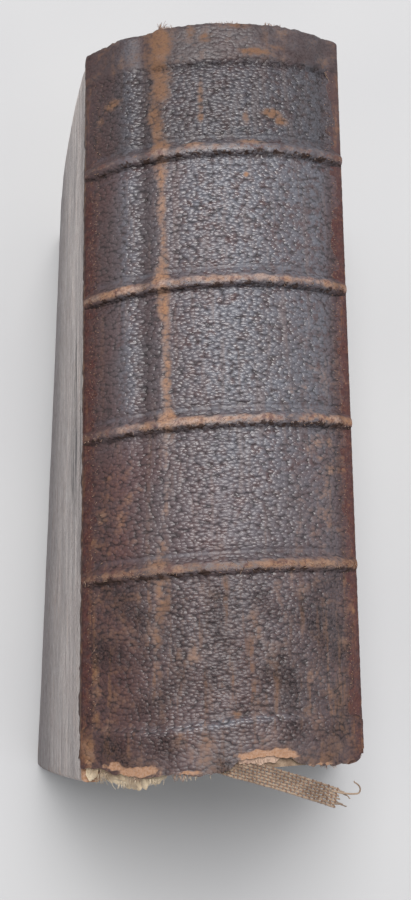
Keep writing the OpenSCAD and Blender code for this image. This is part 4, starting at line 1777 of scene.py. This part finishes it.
class BREVIARY_OT_inner_cloth(bpy.types.Operator):
    """Finishes of the sewing cords and of the cloth lining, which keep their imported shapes"""

    bl_idname = "breviary.inner_cloth"
    bl_label = "Inner cloth"

    def execute(self, context):
        for name in ("band_cord_1", "band_cord_2", "band_cord_3", "band_cord_4"):
            coat(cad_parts[name], "cord_thread")
        coat(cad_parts["spine_lining"], "band_thread")
        return {"FINISHED"}


class BREVIARY_OT_stage(bpy.types.Operator):
    """The floor, the soft light and the camera"""

    bl_idname = "breviary.stage"
    bl_label = "Stage"

    floor_size = 6
    room_light = (0.95, 0.97, 1.0, 1.0)
    room_strength = 0.55
    lens = 50.116
    sensor_width = 36
    nearest = 0.01
    camera_place = (0.00070, -0.06186, 0.33729)
    camera_axes = (
        (0.9998897, -0.0127319, 0.0076415),
        (0.010832, 0.977398, 0.2111299),
        (-0.0101568, -0.2110238, 0.9774281))

    def execute(self, context):
        scene = context.scene
        clear_selection()
        bpy.ops.mesh.primitive_plane_add(size=self.floor_size)
        floor = context.object
        floor.name = "floor"
        coat(floor, "pale_floor")
        self.add_light("soft_top", where=(0.10, 0.56, 2.25), towards=(0.0, 0.0, 0.10), size=1.0,
                       power=76.0, tint=(1.0, 0.985, 0.97))
        self.add_light("soft_side", where=(1.0, -0.4, 2.2), towards=(0.0, 0.0, 0.08), size=1.4,
                       power=10.0, tint=(0.96, 0.98, 1.0))
        self.add_room(scene)
        self.add_camera(scene)
        scene.view_settings.view_transform = "Standard"
        return {"FINISHED"}

    def add_room(self, scene):
        """Even light from all round."""
        world = bpy.data.worlds.new("room")
        world.use_nodes = True
        back = world.node_tree.nodes["Background"]
        back.inputs["Color"].default_value = self.room_light
        back.inputs["Strength"].default_value = self.room_strength
        scene.world = world

    def add_camera(self, scene):
        """The camera, from its place and the directions of its three axes."""
        view = bpy.data.cameras.new("view")
        view.lens = self.lens
        view.sensor_width = self.sensor_width
        view.clip_start = self.nearest
        camera = bpy.data.objects.new("view", view)
        scene.collection.objects.link(camera)
        turned = Matrix(self.camera_axes).transposed().to_4x4()
        camera.matrix_world = Matrix.Translation(self.camera_place) @ turned
        scene.camera = camera

    def add_light(self, name, where, towards, size, power, tint):
        """One square soft light that faces a point."""
        lamp = bpy.data.lights.new(name, "AREA")
        lamp.shape = "SQUARE"
        lamp.size = size
        lamp.energy = power
        lamp.color = tint
        light = bpy.data.objects.new(name, lamp)
        bpy.context.scene.collection.objects.link(light)
        light.location = where
        aim = Vector(towards) - Vector(where)
        light.rotation_mode = "QUATERNION"
        light.rotation_quaternion = aim.to_track_quat("-Z", "Y")


class BREVIARY_PT_panel(bpy.types.Panel):
    """The pieces of the book, in the order in which they are made"""

    bl_idname = "BREVIARY_PT_panel"
    bl_label = "Breviary"
    bl_space_type = "VIEW_3D"
    bl_region_type = "UI"
    bl_category = "Breviary"

    def draw(self, context):
        for operator in OPERATORS:
            self.layout.operator(operator.bl_idname)
        for group in (context.scene.breviary_sizes, context.scene.breviary_colours):
            for name in group.bl_rna.properties.keys():
                if name not in ("rna_type", "name"):
                    self.layout.prop(group, name)


OPERATORS = (
    BREVIARY_OT_stage,
    BREVIARY_OT_spine_hide,
    BREVIARY_OT_cover_hides,
    BREVIARY_OT_boards,
    BREVIARY_OT_endpapers,
    BREVIARY_OT_pages,
    BREVIARY_OT_joint_leather,
    BREVIARY_OT_tail_band,
    BREVIARY_OT_head_band,
    BREVIARY_OT_loose_fibres,
    BREVIARY_OT_torn_scraps,
    BREVIARY_OT_inner_cloth,
)
CLASSES = (BreviarySizes, BreviaryColours, *OPERATORS, BREVIARY_PT_panel)


def register():
    """Adds the classes and the two groups of settings."""
    for made in CLASSES:
        bpy.utils.register_class(made)
    bpy.types.Scene.breviary_sizes = bpy.props.PointerProperty(type=BreviarySizes)
    bpy.types.Scene.breviary_colours = bpy.props.PointerProperty(type=BreviaryColours)


def unregister():
    """Takes them away again."""
    del bpy.types.Scene.breviary_colours
    del bpy.types.Scene.breviary_sizes
    for made in reversed(CLASSES):
        bpy.utils.unregister_class(made)


def main():
    """Makes every piece."""
    register()
    bpy.ops.breviary.stage()
    bpy.ops.breviary.spine_hide()
    bpy.ops.breviary.cover_hides()
    bpy.ops.breviary.boards()
    bpy.ops.breviary.endpapers()
    bpy.ops.breviary.pages()
    bpy.ops.breviary.joint_leather()
    bpy.ops.breviary.tail_band()
    bpy.ops.breviary.head_band()
    bpy.ops.breviary.loose_fibres()
    bpy.ops.breviary.torn_scraps()
    bpy.ops.breviary.inner_cloth()


if __name__ == "__main__":
    main()
